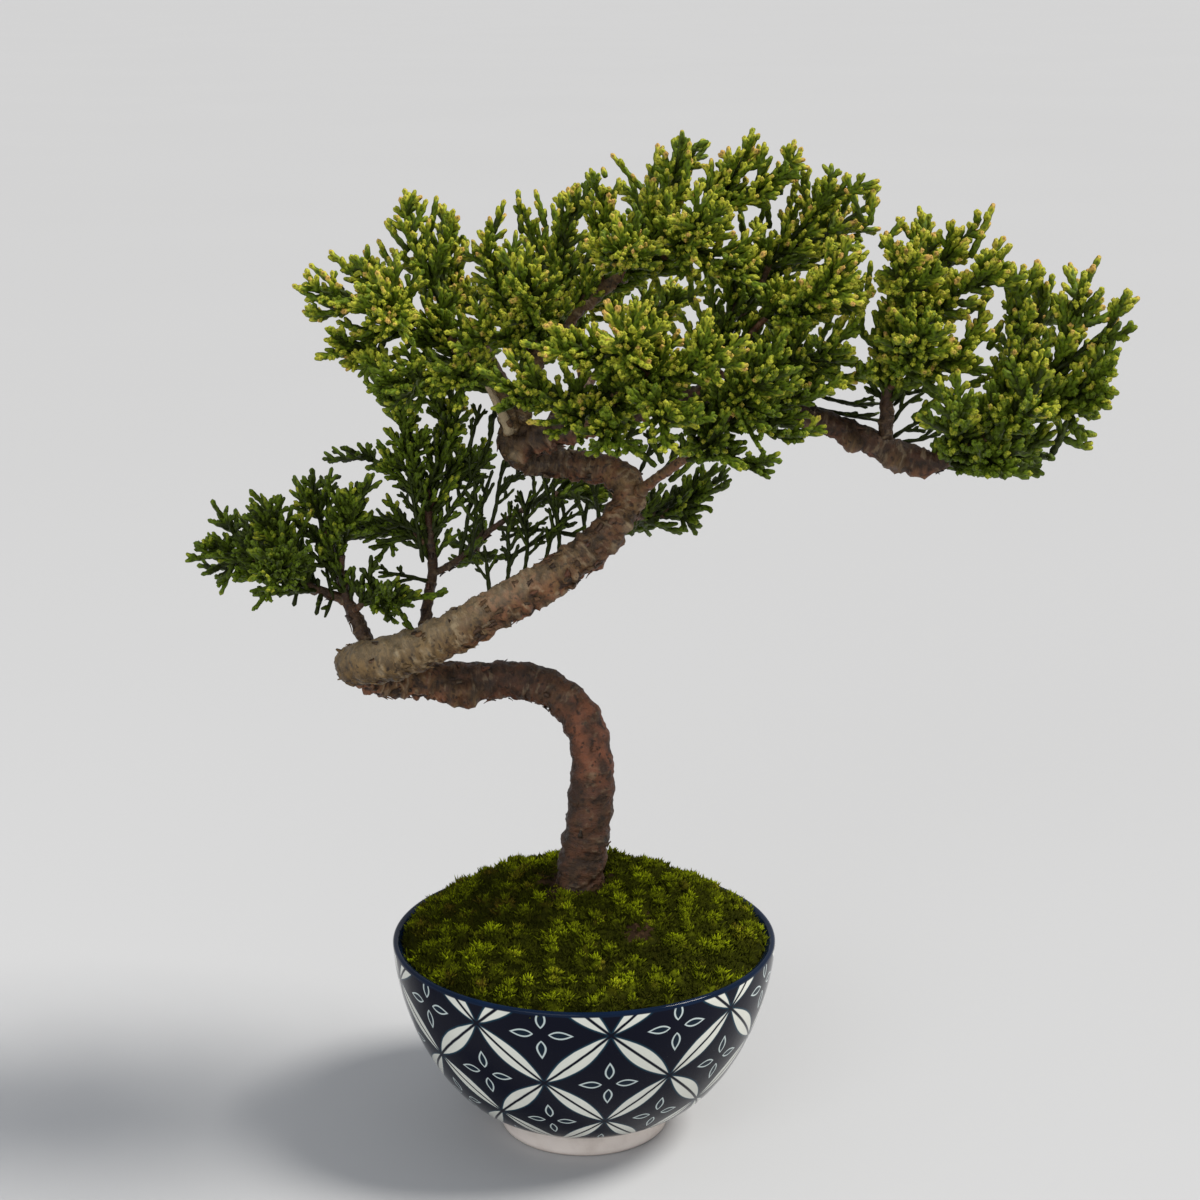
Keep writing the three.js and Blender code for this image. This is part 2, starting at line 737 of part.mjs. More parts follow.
// Shares of the radius where the mound's slope changes, under the moss too.
const UNDERSIDE_RINGS = [0.82, 0.56, 0.28];

// The mound's height at radius r from the bowl's axis: high in the middle, and steeper
// towards the edge.
function moundHeight(r) {
  const share = Math.min(r / (RIM_RADIUS - WALL), 1);
  return SOIL_EDGE_HEIGHT + (SOIL_TOP_HEIGHT - SOIL_EDGE_HEIGHT) * (1 - share ** 2.7);
}

// The bowl's inner radius at a height, on the straight lines between its wall's points.
function wallRadiusAt(height) {
  const after = innerWall.findIndex(({ y }) => y >= height);
  const low = innerWall[Math.max(after - 1, 0)];
  const high = innerWall[Math.max(after, 1)];
  return THREE.MathUtils.mapLinear(height, low.y, high.y, low.x, high.x);
}

function makeSoil(trunkHole) {
  const bottom = FLOOR_TOP + NET_THICKNESS + 2 * SEAT_GAP;
  const edge = wallRadiusAt(SOIL_EDGE_HEIGHT) - SEAT_GAP;
  const profile = [new THREE.Vector2(0, bottom), new THREE.Vector2(wallRadiusAt(bottom) - 1, bottom)];
  const { x, y } = innerWall[3];
  profile.push(new THREE.Vector2(x - SEAT_GAP, y + SEAT_GAP));
  profile.push(new THREE.Vector2(edge, SOIL_EDGE_HEIGHT));
  for (const share of UNDERSIDE_RINGS) {
    profile.push(new THREE.Vector2(edge * share, moundHeight(edge * share)));
  }
  profile.push(new THREE.Vector2(0, moundHeight(0)));
  return lathe(profile).subtract(trunkHole);
}

// Low cushions of moss, as a height above the soil.
function mossHeight(x, y) {
  const cushions = Math.sin(x * 0.31 + 1.7 * Math.sin(y * 0.13)) * Math.sin(y * 0.27 + 1.1 * Math.sin(x * 0.17));
  const tufts = Math.sin(x * 0.83 + y * 0.41) * Math.sin(y * 0.71 - x * 0.37);
  return MOSS_THICKNESS * (1 + 0.3 * cushions + 0.24 * tufts);
}

// The moss sheet: a bumpy top over a smooth underside that lies just above the soil.
function makeMoss(trunkHole) {
  const edge = wallRadiusAt(SOIL_EDGE_HEIGHT) - 3 * SEAT_GAP;
  const shares = [0.16, 0.32, 0.48, 0.64, 0.78, 0.91, 1];
  const positions = [];
  const corners = [];
  const addRing = (radius, height) => {
    for (let k = 0; k < ROUND_SIDES; k += 1) {
      const angle = (2 * Math.PI * k) / ROUND_SIDES;
      const x = radius * Math.cos(angle);
      const y = radius * Math.sin(angle);
      positions.push(x, y, height(x, y, radius));
    }
  };
  const soilAt = (radius) => moundHeight(radius) + 1.2 * SEAT_GAP;
  const topAt = (x, y, radius) => {
    const rounding = radius > 0.97 * edge ? 0.35 : 1;
    return soilAt(radius) + rounding * mossHeight(x, y);
  };
  positions.push(0, 0, topAt(0, 0, 0));
  shares.forEach((share) => addRing(edge * share, topAt));
  UNDERSIDE_RINGS.forEach((share) => addRing(edge * share, (x, y, radius) => soilAt(radius)));
  positions.push(0, 0, soilAt(0));
  const ringCount = shares.length + UNDERSIDE_RINGS.length;
  for (let k = 0; k < ROUND_SIDES; k += 1) {
    const next = (k + 1) % ROUND_SIDES;
    corners.push(0, 1 + k, 1 + next);
    for (let i = 0; i < ringCount - 1; i += 1) {
      const a = 1 + i * ROUND_SIDES + k;
      const b = 1 + i * ROUND_SIDES + next;
      corners.push(a, a + ROUND_SIDES, b + ROUND_SIDES, a, b + ROUND_SIDES, b);
    }
    const first = 1 + (ringCount - 1) * ROUND_SIDES;
    corners.push(first + k, first + ROUND_SIDES, first + next);
  }
  return solidFrom(positions, corners).subtract(trunkHole);
}

// The tree
const trunk = makeTrunk();
const trunkHole = makeTrunk(1.6 * SEAT_GAP);
const woodCapsules = [
  ...TRUNK.flatMap(({ points }) => capsulesOf(ringsAlong(points, RING_SPACING), 'wood', 1.12)),
  ...LIMBS.flatMap(({ points }) => capsulesOf(ringsAlong(points, LIMB_SPACING), 'wood', 1.1)),
];
const plans = [];
for (const limb of LIMBS) {
  limb.sprays.forEach((spray, i) => {
    plans.push(planSpray(limb, spray, `spray_${limb.name}_${i + 1}`));
  });
}
const stalks = plans.map(stalkRings);
const sprays = plans.map(withStems);
growShoots(sprays, [...woodCapsules, ...stalks.flatMap((rings) => capsulesOf(rings, 'wood'))]);

const woodPieces = [
  trunk,
  ...LIMBS.map(makeLimb),
  ...stalks.map((rings) => tube(rings, 3)),
];
const wood = woodPieces.reduce((joined, piece) => joined.add(piece));

const bonsai = new THREE.Group();
bonsai.add(
  meshOf('bowl', makeBowl(), GLAZE),
  meshOf('drain_net', makeDrainNet(), NET_PLASTIC),
  meshOf('soil', makeSoil(trunkHole), EARTH),
  meshOf('moss', makeMoss(trunkHole), MOSS_GREEN),
  meshOf('wood', wood, BARK),
  ...sprays.map((spray) => meshOf(spray.name, makeSpray(spray), NEEDLE_GREEN)),
);

bonsai.position.x = -CROWN_OFFSET;

export default bonsai;
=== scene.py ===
"""The finished look of an itoigawa juniper bonsai in a small ceramic bowl.

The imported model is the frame. Each piece below stands in its place, in metres.
"""

import math

import bpy
import numpy as np
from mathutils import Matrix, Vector, noise


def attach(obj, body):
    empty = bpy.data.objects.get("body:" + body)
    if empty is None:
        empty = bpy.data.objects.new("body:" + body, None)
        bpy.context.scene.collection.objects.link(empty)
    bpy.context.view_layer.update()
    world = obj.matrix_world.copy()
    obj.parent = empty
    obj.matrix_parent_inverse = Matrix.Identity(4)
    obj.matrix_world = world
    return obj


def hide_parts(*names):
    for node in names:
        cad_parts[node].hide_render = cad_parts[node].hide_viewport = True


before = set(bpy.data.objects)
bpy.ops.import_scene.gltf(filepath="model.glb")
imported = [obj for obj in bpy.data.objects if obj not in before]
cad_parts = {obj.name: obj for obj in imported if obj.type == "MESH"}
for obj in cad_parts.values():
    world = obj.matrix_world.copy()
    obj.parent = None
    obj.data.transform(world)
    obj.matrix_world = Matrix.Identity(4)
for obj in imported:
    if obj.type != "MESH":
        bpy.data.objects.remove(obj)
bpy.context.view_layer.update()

bl_info = {
    "name": "Juniper bonsai in a bowl",
    "version": (1, 0, 0),
    "blender": (4, 5, 0),
    "location": "3D View > Sidebar > Bonsai",
    "description": "Builds the finished bonsai, its moss and its bowl around the packed model",
    "category": "Add Mesh",
}

MM = 0.001
BODY = "root"
SEED = 4172

# The tree is laid out round the bowl's own axis, which stands this far from the middle
# of the whole, in millimetres.
AXIS_X = -21.5

# The bowl, in millimetres.
RIM_RADIUS = 60
BOWL_HEIGHT = 63
WALL = 3.4
FOOT_RADIUS = 26.5
FOOT_WIDTH = 3.4
FOOT_HEIGHT = 7
RECESS_DEPTH = 4.5
FLOOR_TOP = 11.5
DRAIN_RADIUS = 5

# Where the bowl's wall starts outside, and where its floor ends inside, in millimetres.
WALL_START_RADIUS = 27
WALL_START_HEIGHT = 8
FLOOR_EDGE = 22

# The soil and the moss, in millimetres. No tuft stands nearer to the trunk than its clearing.
SOIL_EDGE_HEIGHT = 58
SOIL_TOP_HEIGHT = 80
MOSS_EDGE = 57.3
CLUMP_SIZE = 4.6
TUFT_LEAVES = 6
TRUNK_FOOT = (-1.8, 0)
TRUNK_CLEARING = 8.5

# The drawn lattice goes round the bowl this many times. A knot of its first row stands
# this many degrees before the +X side and this far below the rim along the wall.
REPEATS = 9
FIRST_KNOT = 82
FIRST_ROW = 7.9
ROW_HEIGHT = 18.4
PETAL_LENGTH = 1.48 * ROW_HEIGHT

# The drawing in shares of a petal's length: how far a petal reaches along its side of the
# net, how full it is towards its ends, and how wide a leaf is.
PETAL_REACH = 0.965
PETAL_FULLNESS = 1.9
LEAF_WIDTH = 0.092

# The blue line round the rim ends between these distances below it, in millimetres.
LINE_FADE = (1.5, 1.9)

# The stalks and stems of the sprays, in millimetres, by the same rule as the solids.
STALK_ROOT_RADIUS = 0.9
STALK_RADIUS = 1.1
STALK_TAPER = 0.9
STALK_SHOWS = 3
STALK_SAG = 0.06
LONGEST_SPRAY = 38
SPRAY_SHARE = 0.84
STEM_FORK = 3.5
TIP_GROWTH = 5
STEM_SAG = 0.1

# The trunk is three bent lengths. Each point is (x, y, z, radius), in millimetres.
TRUNK = [
    [
        (-3, 1, 48, 5), (-2.5, 0, 58, 7.6), (-2, 0, 73, 8.2), (-1.3, 0, 81.5, 7.6),
        (0, 0, 91.5, 7.2), (2.2, 0, 108, 6.9), (2.6, 1, 121, 6.3), (0.2, 4, 131, 6.1),
        (-6.2, 8, 138.6, 6), (-14.2, 11, 142.2, 5.9), (-24.5, 12, 143.4, 5.9),
        (-37, 11, 142.8, 6.7), (-49, 9, 144.4, 6.2), (-61, 6, 146, 6.6), (-69, 1, 150, 5),
    ],
    [
        (-72, -1.5, 153, 5), (-68.5, -4.5, 153.6, 7), (-62, -8.5, 155.6, 7.2),
        (-55, -10.5, 157.8, 6.9), (-40, -13, 165, 6.5), (-25, -12, 173.3, 6.2),
        (-10, -9, 181.4, 5.9), (2, -5, 189, 5.5), (10, -1, 197, 5.3), (14, 2, 204.5, 4.6),
    ],
    [
        (14.5, 0.5, 201, 4.2), (13.4, 2.5, 207, 5.4), (8.5, 6, 210.8, 5),
        (1.5, 9, 211.4, 4.6), (-7, 12, 212, 4.6), (-15, 12, 213, 5),
        (-20.5, 10.5, 218, 5.6), (-21, 9.5, 223, 4.2),
    ],
]

# Limbs and their sprays: name, points, and for each spray the point number that it
# leaves from and the tips that it reaches.
LIMBS = [
    (
        "right_limb",
        [
            (-20, 9, 219, 5), (-11, 4, 222, 5), (-1, 0, 226, 4.6), (17, -2, 232, 4.2),
            (38, 2, 234, 3.9), (57, 6, 232, 3.8), (71, 8, 226, 3.8), (83, 9, 221, 3.9),
            (95, 8, 216, 4.2), (106, 5, 214, 3.2), (114, 2, 218, 2), (124, 0, 224, 1.5),
            (135, -2, 232, 1.2),
        ],
        [
            (4.8, [(62, 34, 218)]),
            (9.4, [(121, -24, 218), (107, -28, 236)]),
            (9.6, [(146, 8, 215)]),
            (10.3, [(129, -32, 241)]),
            (11, [(129, -4, 275), (140, 18, 262)]),
            (12, [(154, -2, 226), (154, -10, 243)]),
            (11.6, [(151, 2, 277), (162, -6, 265)]),
        ],
    ),
    (
        "right_riser",
        [
            (91, 8, 220, 2.4), (91, 8, 231, 2.2), (91, 6, 242, 2),
            (93, 4, 252, 1.6), (98, 2, 262, 1.2),
        ],
        [
            (1.6, [(95, -30, 257), (112, -14, 250)]),
            (2.6, [(120, -12, 276), (90, -28, 279)]),
            (3.2, [(104, 32, 272)]),
            (4, [(102, 6, 285), (119, 0, 291)]),
        ],
    ),
    (
        "middle_riser",
        [(38, 2, 234, 2.4), (39, 4, 245, 2), (43, 4, 257, 1.7), (48, 2, 267, 1.3)],
        [
            (0.8, [(73, -26, 253), (86, -16, 243)]),
            (1.6, [(72, -40, 276), (85, -22, 268)]),
            (2.2, [(78, 22, 285)]),
            (3, [(76, 2, 301), (90, 8, 294)]),
        ],
    ),
    (
        "top_limb",
        [
            (-22, 10, 220, 4.4), (-19, 12, 229, 3.8), (-15, 12, 242, 3.2), (-7, 10, 254, 2.7),
            (5, 8, 265, 2.3), (17, 5, 274, 1.9), (28, 2, 281, 1.4),
        ],
        [
            (2, [(-31, 6, 281)]),
            (2.5, [(-15, -30, 270), (-30, -26, 257)]),
            (3, [(-20, 16, 294), (-2, 20, 291)]),
            (4, [(7, 0, 306)]),
            (4.6, [(12, -40, 283)]),
            (5, [(32, 6, 310), (22, 34, 292)]),
            (5.5, [(33, -36, 289), (46, -22, 275)]),
            (6, [(51, 0, 310), (65, -4, 307)]),
        ],
    ),
    (
        "upper_left_limb",
        [
            (-21, 8, 222, 3), (-26, 5, 235, 2.4), (-36, 0, 248, 2),
            (-46, -4, 257, 1.7), (-57, -8, 263, 1.4),
        ],
        [
            (1.6, [(-57, -22, 242), (-34, -28, 246)]),
            (2.4, [(-41, 14, 292), (-54, 2, 295)]),
            (3, [(-72, -16, 248)]),
            (3.4, [(-69, 2, 276), (-54, -38, 266)]),
            (4, [(-84, -14, 270), (-83, -10, 257)]),
        ],
    ),
    ("dead_stub", [(-22, 6, 223, 1.8), (-25, 1, 231, 1.4), (-28, -3, 238, 0.8)], []),
    (
        "front_limb",
        [(-1, 0, 226, 2.6), (5, -14, 233, 2.2), (12, -26, 241, 1.8), (19, -36, 249, 1.4)],
        [
            (1, [(-17, -44, 244)]),
            (1.7, [(-5, -50, 236), (8, -56, 233)]),
            (2.4, [(23, -62, 237), (37, -62, 257)]),
            (3, [(11, -68, 263), (-6, -56, 259)]),
        ],
    ),
    (
        "elbow_limb",
        [
            (15, 0, 204, 2), (21, -8, 211, 1.7), (28, -16, 218, 1.5),
            (35, -22, 226, 1.3), (41, -26, 234, 1.1),
        ],
        [
            (2.8, [(35, -48, 230), (50, -36, 220)]),
            (3.6, [(62, -30, 226), (69, -28, 243)]),
            (4, [(51, -54, 252), (45, -46, 240)]),
        ],
    ),
    (
        "lower_left_limb",
        [
            (-65, -4, 159, 2.6), (-69, -2, 167, 2.3), (-72, 0, 173, 2.1),
            (-74, 2, 181, 1.6), (-77, 2, 189, 1.2),
        ],
        [(1.6, [(-53, -16, 177)]), (3, [(-68, -8, 204)]), (4, [(-84, 10, 205)])],
    ),
    (
        "lower_left_fork",
        [(-72, 0, 172, 1.8), (-80, -2, 176, 1.4), (-87, -4, 180, 1.2), (-94, -6, 185, 1)],
        [
            (1, [(-104, 24, 188)]),
            (1.8, [(-96, -4, 207)]),
            (2.4, [(-88, -30, 190)]),
            (3, [(-117, -10, 193), (-117, -2, 180), (-112, 6, 201)]),
        ],
    ),
    (
        "middle_left_limb",
        [
            (-48, -10, 162, 2), (-47, -2, 173, 1.8), (-46, 6, 180, 1.6),
            (-47, 10, 192, 1.4), (-48, 14, 203, 1.1),
        ],
        [
            (2.8, [(-74, 12, 191)]),
            (3.4, [(-36, 26, 211), (-40, 26, 231)]),
            (4, [(-73, 16, 215), (-57, 12, 235)]),
        ],
    ),
    (
        "middle_left_fork",
        [
            (-46, 5, 179, 1.2), (-39, 10, 182, 1.1), (-29, 16, 190, 1),
            (-20, 20, 195, 0.9), (-12, 24, 198, 0.8),
        ],
        [(1.6, [(-33, 26, 175)]), (4, [(-4, 36, 207), (6, 32, 197)])],
    ),
    (
        "back_right_limb",
        [(13, 3, 200, 1.8), (17, 14, 195, 1.5), (22, 22, 194, 1.2)],
        [(1.4, [(19, 36, 184)]), (2, [(42, 26, 204), (36, 22, 189)])],
    ),
    (
        "back_limb",
        [(-11, 4, 222, 2.4), (-7, 22, 227, 2), (2, 38, 233, 1.6), (11, 50, 241, 1.2)],
        [(1.8, [(-8, 50, 272)]), (3, [(4, 62, 260), (32, 60, 257)])],
    ),
    (
        "back_left_limb",
        [(-19, 12, 229, 2), (-26, 26, 237, 1.7), (-32, 38, 246, 1.3)],
        [(2, [(-44, 46, 264), (-20, 50, 270)])],
    ),
    (
        "back_riser",
        [(57, 6, 232, 2.2), (58, 22, 239, 1.8), (62, 36, 246, 1.3)],
        [(2, [(54, 56, 263), (80, 50, 258)])],
    ),
]


# Sizes and colours that a user would change


def colour(name, description, default):
    return bpy.props.FloatVectorProperty(
        name=name, description=description, default=default, size=3, min=0, max=1, subtype="COLOR"
    )


def length(name, description, default):
    return bpy.props.FloatProperty(
        name=name, description=description, default=default, min=0, unit="LENGTH"
    )


class BowlSettings(bpy.types.PropertyGroup):
    glaze: colour("Glaze", "Dark glaze between the drawn petals", (0.0022, 0.0030, 0.0105))
    petals: colour("Petals", "White of the drawn petals", (0.72, 0.73, 0.66))
    leaf_lines: colour("Leaf lines", "Outlines of the small leaves", (0.62, 0.70, 0.68))
    bleed: colour("Bleed", "Blue-green where the white runs into the dark glaze", (0.012, 0.07, 0.11))
    rim_line: colour("Rim line", "Blue line round the rim", (0.004, 0.013, 0.038))
    inside: colour("Inside", "Pale glaze inside the bowl", (0.62, 0.66, 0.68))
    foot: colour("Foot", "Bare ceramic of the foot", (0.88, 0.79, 0.72))
    worn_foot: colour("Worn foot", "Ceramic of the foot where it has stood", (0.60, 0.50, 0.43))
    petal_width: length("Petal width", "Width of a drawn petal at its middle", 0.0062)
    rib_width: length("Rib width", "Width of the dark rib along a petal", 0.0009)


class MossSettings(bpy.types.PropertyGroup):
    deep: colour("Deep green", "Moss low in the tufts", (0.018, 0.020, 0.0015))
    bright: colour("Bright green", "Tips of the moss", (0.66, 0.80, 0.012))
    dry: colour("Dry tips", "Tips of the older moss", (0.50, 0.32, 0.040))
    earth: colour("Earth", "Soil that shows between the tufts", (0.034, 0.019, 0.009))
    net: colour("Net", "Plastic of the net over the drain hole", (0.012, 0.015, 0.012))
    net_dust: colour("Net dust", "Dust of the soil on the net", (0.09, 0.06, 0.04))
    shoot_height: length("Shoot height", "Height of a moss shoot", 0.0020)
    tufts: bpy.props.IntProperty(name="Tufts", description="Number of moss tufts", default=10800, min=100)


class WoodSettings(bpy.types.PropertyGroup):
    # The dark bark is also painted as shade on the left side (-X) of the thick limbs.
    dark_bark_and_shade: colour("Dark bark", "Old bark in the hollows", (0.018, 0.010, 0.006))
    brown_bark: colour("Brown bark", "Reddish brown of the lower trunk", (0.046, 0.026, 0.015))
    tan_bark: colour("Tan bark", "Tan of the weathered bark", (0.235, 0.146, 0.056))
    red_bark: colour("Red bark", "Fresh bark where flakes have come off", (0.23, 0.080, 0.038))
    # The dead wood's colour is also painted as highlight on the raised plates and on the tops of some
    # lengths of the trunk.
    dead_wood_and_highlight: colour("Dead wood", "Pale bare wood of stubs and cuts", (0.44, 0.35, 0.22))
    flake_depth: length("Flake depth", "How far the flakes of bark stand out", 0.0008)


class FoliageSettings(bpy.types.PropertyGroup):
    # The inner green is also painted as shade in the crevices between the scale leaves.
    inner_green_and_shade: colour("Inner green", "Shoots inside the crown", (0.020, 0.028, 0.004))
    leaf_green: colour("Leaf green", "Grown shoots", (0.102, 0.155, 0.008))
    young_green: colour("Young green", "Fresh growth", (0.41, 0.42, 0.032))
    tip_brown: colour("Tip brown", "Tips in the sun", (0.56, 0.34, 0.090))
    shoot_radius: length("Shoot radius", "Radius of a shoot", 0.00094)
    scale_swell: bpy.props.FloatProperty(
        name="Scale swell",
        description="How far a pair of scale leaves stands out, as a share of the shoot's radius",
        default=0.13,
        min=0,
        max=0.5,
    )
    scale_length: length("Scale length", "From one pair of scale leaves to the next", 0.0014)


class StageSettings(bpy.types.PropertyGroup):
    floor: colour("Floor", "Pale floor", (0.446, 0.452, 0.462))
    room: colour("Room", "Light of the room", (0.84, 0.86, 0.90))
    room_strength: bpy.props.FloatProperty(
        name="Room strength", description="Strength of the room's light", default=0.56, min=0
    )


# Meshes


# The values at the points that are vectors.
VECTORS = ("straight", "cord")


class Surface:
    """Gathers points, triangles and values at the points, and makes one mesh of them."""

    def __init__(self, *names):
        self.points = []
        self.faces = []
        self.slots = []
        self.values = {name: [] for name in names}
        self.count = 0

    def add(self, points, faces, slot=0, **values):
        """points and values in millimetres round the bowl's axis, faces as rows of three."""
        points = np.asarray(points, float)
        self.points.append(points)
        self.faces.append(np.asarray(faces) + self.count)
        self.slots.append(np.full(len(faces), slot))
        for name, kept in self.values.items():
            shape = points.shape if name in VECTORS else len(points)
            kept.append(np.broadcast_to(np.asarray(values[name], float), shape))
        self.count += len(points)

    def build(self, name, *materials):
        """One smooth piece that rides on the frame."""
        points = (np.concatenate(self.points) + (AXIS_X, 0, 0)) * MM
        faces = np.concatenate(self.faces).astype(np.int32)
        mesh = bpy.data.meshes.new(name)
        mesh.vertices.add(len(points))
        mesh.vertices.foreach_set("co", points.ravel())
        mesh.loops.add(faces.size)
        mesh.loops.foreach_set("vertex_index", faces.ravel())
        mesh.polygons.add(len(faces))
        mesh.polygons.foreach_set("loop_start", np.arange(0, faces.size, 3, dtype=np.int32))
        mesh.polygons.foreach_set("material_index", np.concatenate(self.slots).astype(np.int32))
        mesh.update(calc_edges=True)
        mesh.shade_smooth()
        for title, kept in self.values.items():
            value = np.concatenate(kept)
            kind = "FLOAT_VECTOR" if value.ndim == 2 else "FLOAT"
            made = mesh.attributes.new(title, kind, "POINT")
            made.data.foreach_set("vector" if value.ndim == 2 else "value", value.ravel())
        if mesh.validate():
            raise RuntimeError(f"{name} had faulty faces")
        for material in materials:
            mesh.materials.append(material)
        piece = bpy.data.objects.new(name, mesh)
        bpy.context.scene.collection.objects.link(piece)
        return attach(piece, BODY)


def unit(vectors):
    return vectors / np.maximum(np.linalg.norm(vectors, axis=-1, keepdims=True), 1e-9)


def square_to(direction):
    """A unit vector square to direction."""
    helper = (0, 0, 1) if abs(direction[2]) < 0.8 else (1, 0, 0)
    return unit(np.cross(helper, direction))


def directions_of(path):
    return unit(np.gradient(path, axis=0))


def gone_along(path):
    """How far along a path each of its points is."""
    return np.concatenate([[0], np.cumsum(np.linalg.norm(np.diff(path, axis=0), axis=1))])


def arc(root, tip, sag, steps=6):
    """Points from root to tip, hanging through by sag at the middle."""
    t = np.linspace(0, 1, steps)[:, None]
    bend = (root + tip) / 2 - (0, 0, sag)
    return (1 - t) ** 2 * root + 2 * t * (1 - t) * bend + t * t * tip


def angles_round(count):
    return np.linspace(0, 2 * math.pi, count, endpoint=False)


def frames_along(path):
    """Side and up vectors at each point of a path, carried along without twist."""
    directions = directions_of(path)
    side = square_to(directions[0])
    sides = []
    for direction in directions:
        side = unit(side - direction * side.dot(direction))
        sides.append(side)
    sides = np.array(sides)
    return sides, np.cross(directions, sides)


def grid_faces(rows, columns):
    """Triangles between rows of points that close on themselves, outside outwards."""
    a = (np.arange(rows - 1)[:, None] * columns + np.arange(columns)).ravel()
    b = (np.arange(rows - 1)[:, None] * columns + (np.arange(columns) + 1) % columns).ravel()
    return np.concatenate([
        np.stack([a, b, b + columns], 1),
        np.stack([a, b + columns, a + columns], 1),
    ])


def turned(angle, side, up):
    """The vector at an angle from side towards up."""
    return math.cos(angle) * side + math.sin(angle) * up


def fan_faces(pole, first, columns, outward):
    """Triangles from a pole to the ring that starts at point number first."""
    ring = first + np.arange(columns)
    after = first + (np.arange(columns) + 1) % columns
    ends = (ring, after) if outward else (after, ring)
    return np.stack([np.full(columns, pole), *ends], 1)


def wavy(place, size, seed=0.0):
    """Smooth noise from -1 to 1 at a place in millimetres."""
    return noise.noise(Vector(place) / size + Vector((seed, 0.7 * seed, -seed)))


def smooth_step(low, high, value):
    t = np.clip((value - low) / (high - low), 0, 1)
    return t * t * (3 - 2 * t)


class Curve:
    """The smooth curve through points that the solids use too."""

    def __init__(self, points):
        points = np.array(points, float)
        self.radii = points[:, 3]
        places = points[:, :3]
        self.places = np.vstack([2 * places[0] - places[1], places, 2 * places[-1] - places[-2]])

    def at(self, number):
        """The place at point number "number", which may have a part."""
        low = min(int(number), len(self.radii) - 2)
        p0, p1, p2, p3 = self.places[low:low + 4]
        d0, d1, d2 = (np.linalg.norm(b - a) ** 0.5 for a, b in ((p0, p1), (p1, p2), (p2, p3)))
        start = ((p1 - p0) / d0 - (p2 - p0) / (d0 + d1) + (p2 - p1) / d1) * d1
        end = ((p2 - p1) / d1 - (p3 - p1) / (d1 + d2) + (p3 - p2) / d2) * d1
        t = number - low
        cubic = 2 * p1 - 2 * p2 + start + end
        square = -3 * p1 + 3 * p2 - 2 * start - end
        return ((cubic * t + square) * t + start) * t + p1

    def radius_at(self, number):
        return np.interp(number, np.arange(len(self.radii)), self.radii)

    def evenly(self, spacing):
        """Places and radii, spaced evenly along the curve."""
        fine = np.linspace(0, len(self.radii) - 1, 40 * len(self.radii))
        places = np.array([self.at(number) for number in fine])
        gone = gone_along(places)
        count = max(3, round(gone[-1] / spacing) + 1)
        numbers = np.interp(np.linspace(0, gone[-1], count), gone, fine)
        return np.array([self.at(number) for number in numbers]), self.radius_at(numbers)


# Shader nodes


def connect(tree, socket, value):
    """Feeds a socket from another socket, or gives it a value."""
    if isinstance(value, bpy.types.NodeSocket):
        tree.links.new(value, socket)
    else:
        socket.default_value = value


def node(tree, kind, inputs=None, **settings):
    """A new node. Each input is a value or the socket that feeds it."""
    made = tree.nodes.new(kind)
    for name, value in settings.items():
        setattr(made, name, value)
    for name, value in (inputs or {}).items():
        connect(tree, made.inputs[name], value)
    return made


def sums(tree):
    """A function that writes arithmetic on sockets as nodes."""

    def write(operation, *values):
        return node(tree, "ShaderNodeMath", dict(enumerate(values)), operation=operation).outputs[0]

    return write


def ramp(tree, value, low, high, start=0.0, end=1.0):
    """value, turned smoothly from start at low to end at high."""
    inputs = {"Value": value, "From Min": low, "From Max": high, "To Min": start, "To Max": end}
    made = node(tree, "ShaderNodeMapRange", inputs, interpolation_type="SMOOTHSTEP")
    return made.outputs["Result"]


def blend(tree, mask, under, over):
    """The colour under, with over where mask is 1."""
    made = node(tree, "ShaderNodeMix", {0: mask}, data_type="RGBA")
    for number, value in ((6, under), (7, over)):
        fed = isinstance(value, bpy.types.NodeSocket)
        connect(tree, made.inputs[number], value if fed else (*value, 1))
    return made.outputs[2]


def scaled(tint, share):
    """A colour, darker or lighter."""
    return tuple(share * part for part in tint)


def read(tree, name, output):
    return node(tree, "ShaderNodeAttribute", attribute_name=name).outputs[output]


def new_group(name, inputs, outputs):
    """An empty node group, with its start and end nodes."""
    group = bpy.data.node_groups.new(name, "ShaderNodeTree")
    for title, kind, value in inputs:
        socket = group.interface.new_socket(title, in_out="INPUT", socket_type=kind)
        if value is not None:
            socket.default_value = value
    for title, kind in outputs:
        group.interface.new_socket(title, in_out="OUTPUT", socket_type=kind)
    return group, group.nodes.new("NodeGroupInput").outputs, group.nodes.new("NodeGroupOutput").inputs


def mottle_group():
    """Patches of noise: a mask, and a fine height for bumps."""
    name = "Mottle"
    if name in bpy.data.node_groups:
        return bpy.data.node_groups[name]
    inputs = [
        ("Place", "NodeSocketVector", None),
        ("Patch scale", "NodeSocketFloat", 200.0),
        ("Grain scale", "NodeSocketFloat", 900.0),
        ("Low", "NodeSocketFloat", 0.4),
        ("High", "NodeSocketFloat", 0.6),
    ]
    outputs = [("Mask", "NodeSocketFloat"), ("Grain", "NodeSocketFloat")]
    group, start, end = new_group(name, inputs, outputs)
    noises = []
    for size, detail in (("Patch scale", 4.0), ("Grain scale", 3.0)):
        inputs = {"Vector": start["Place"], "Scale": start[size], "Detail": detail}
        noises.append(node(group, "ShaderNodeTexNoise", inputs).outputs[0])
    patches, grain = noises
    group.links.new(ramp(group, patches, start["Low"], start["High"]), end["Mask"])
    group.links.new(grain, end["Grain"])
    return group


def place_in_object(tree):
    return node(tree, "ShaderNodeTexCoord").outputs["Object"]


def mottle(tree, patch_scale, grain_scale, low, high, place=None):
    """The mottle group placed in a material with its own values."""
    if place is None:
        place = place_in_object(tree)
    inputs = {"Patch scale": patch_scale, "Grain scale": grain_scale, "Low": low, "High": high}
    return node(tree, "ShaderNodeGroup", {"Place": place, **inputs}, node_tree=mottle_group()).outputs


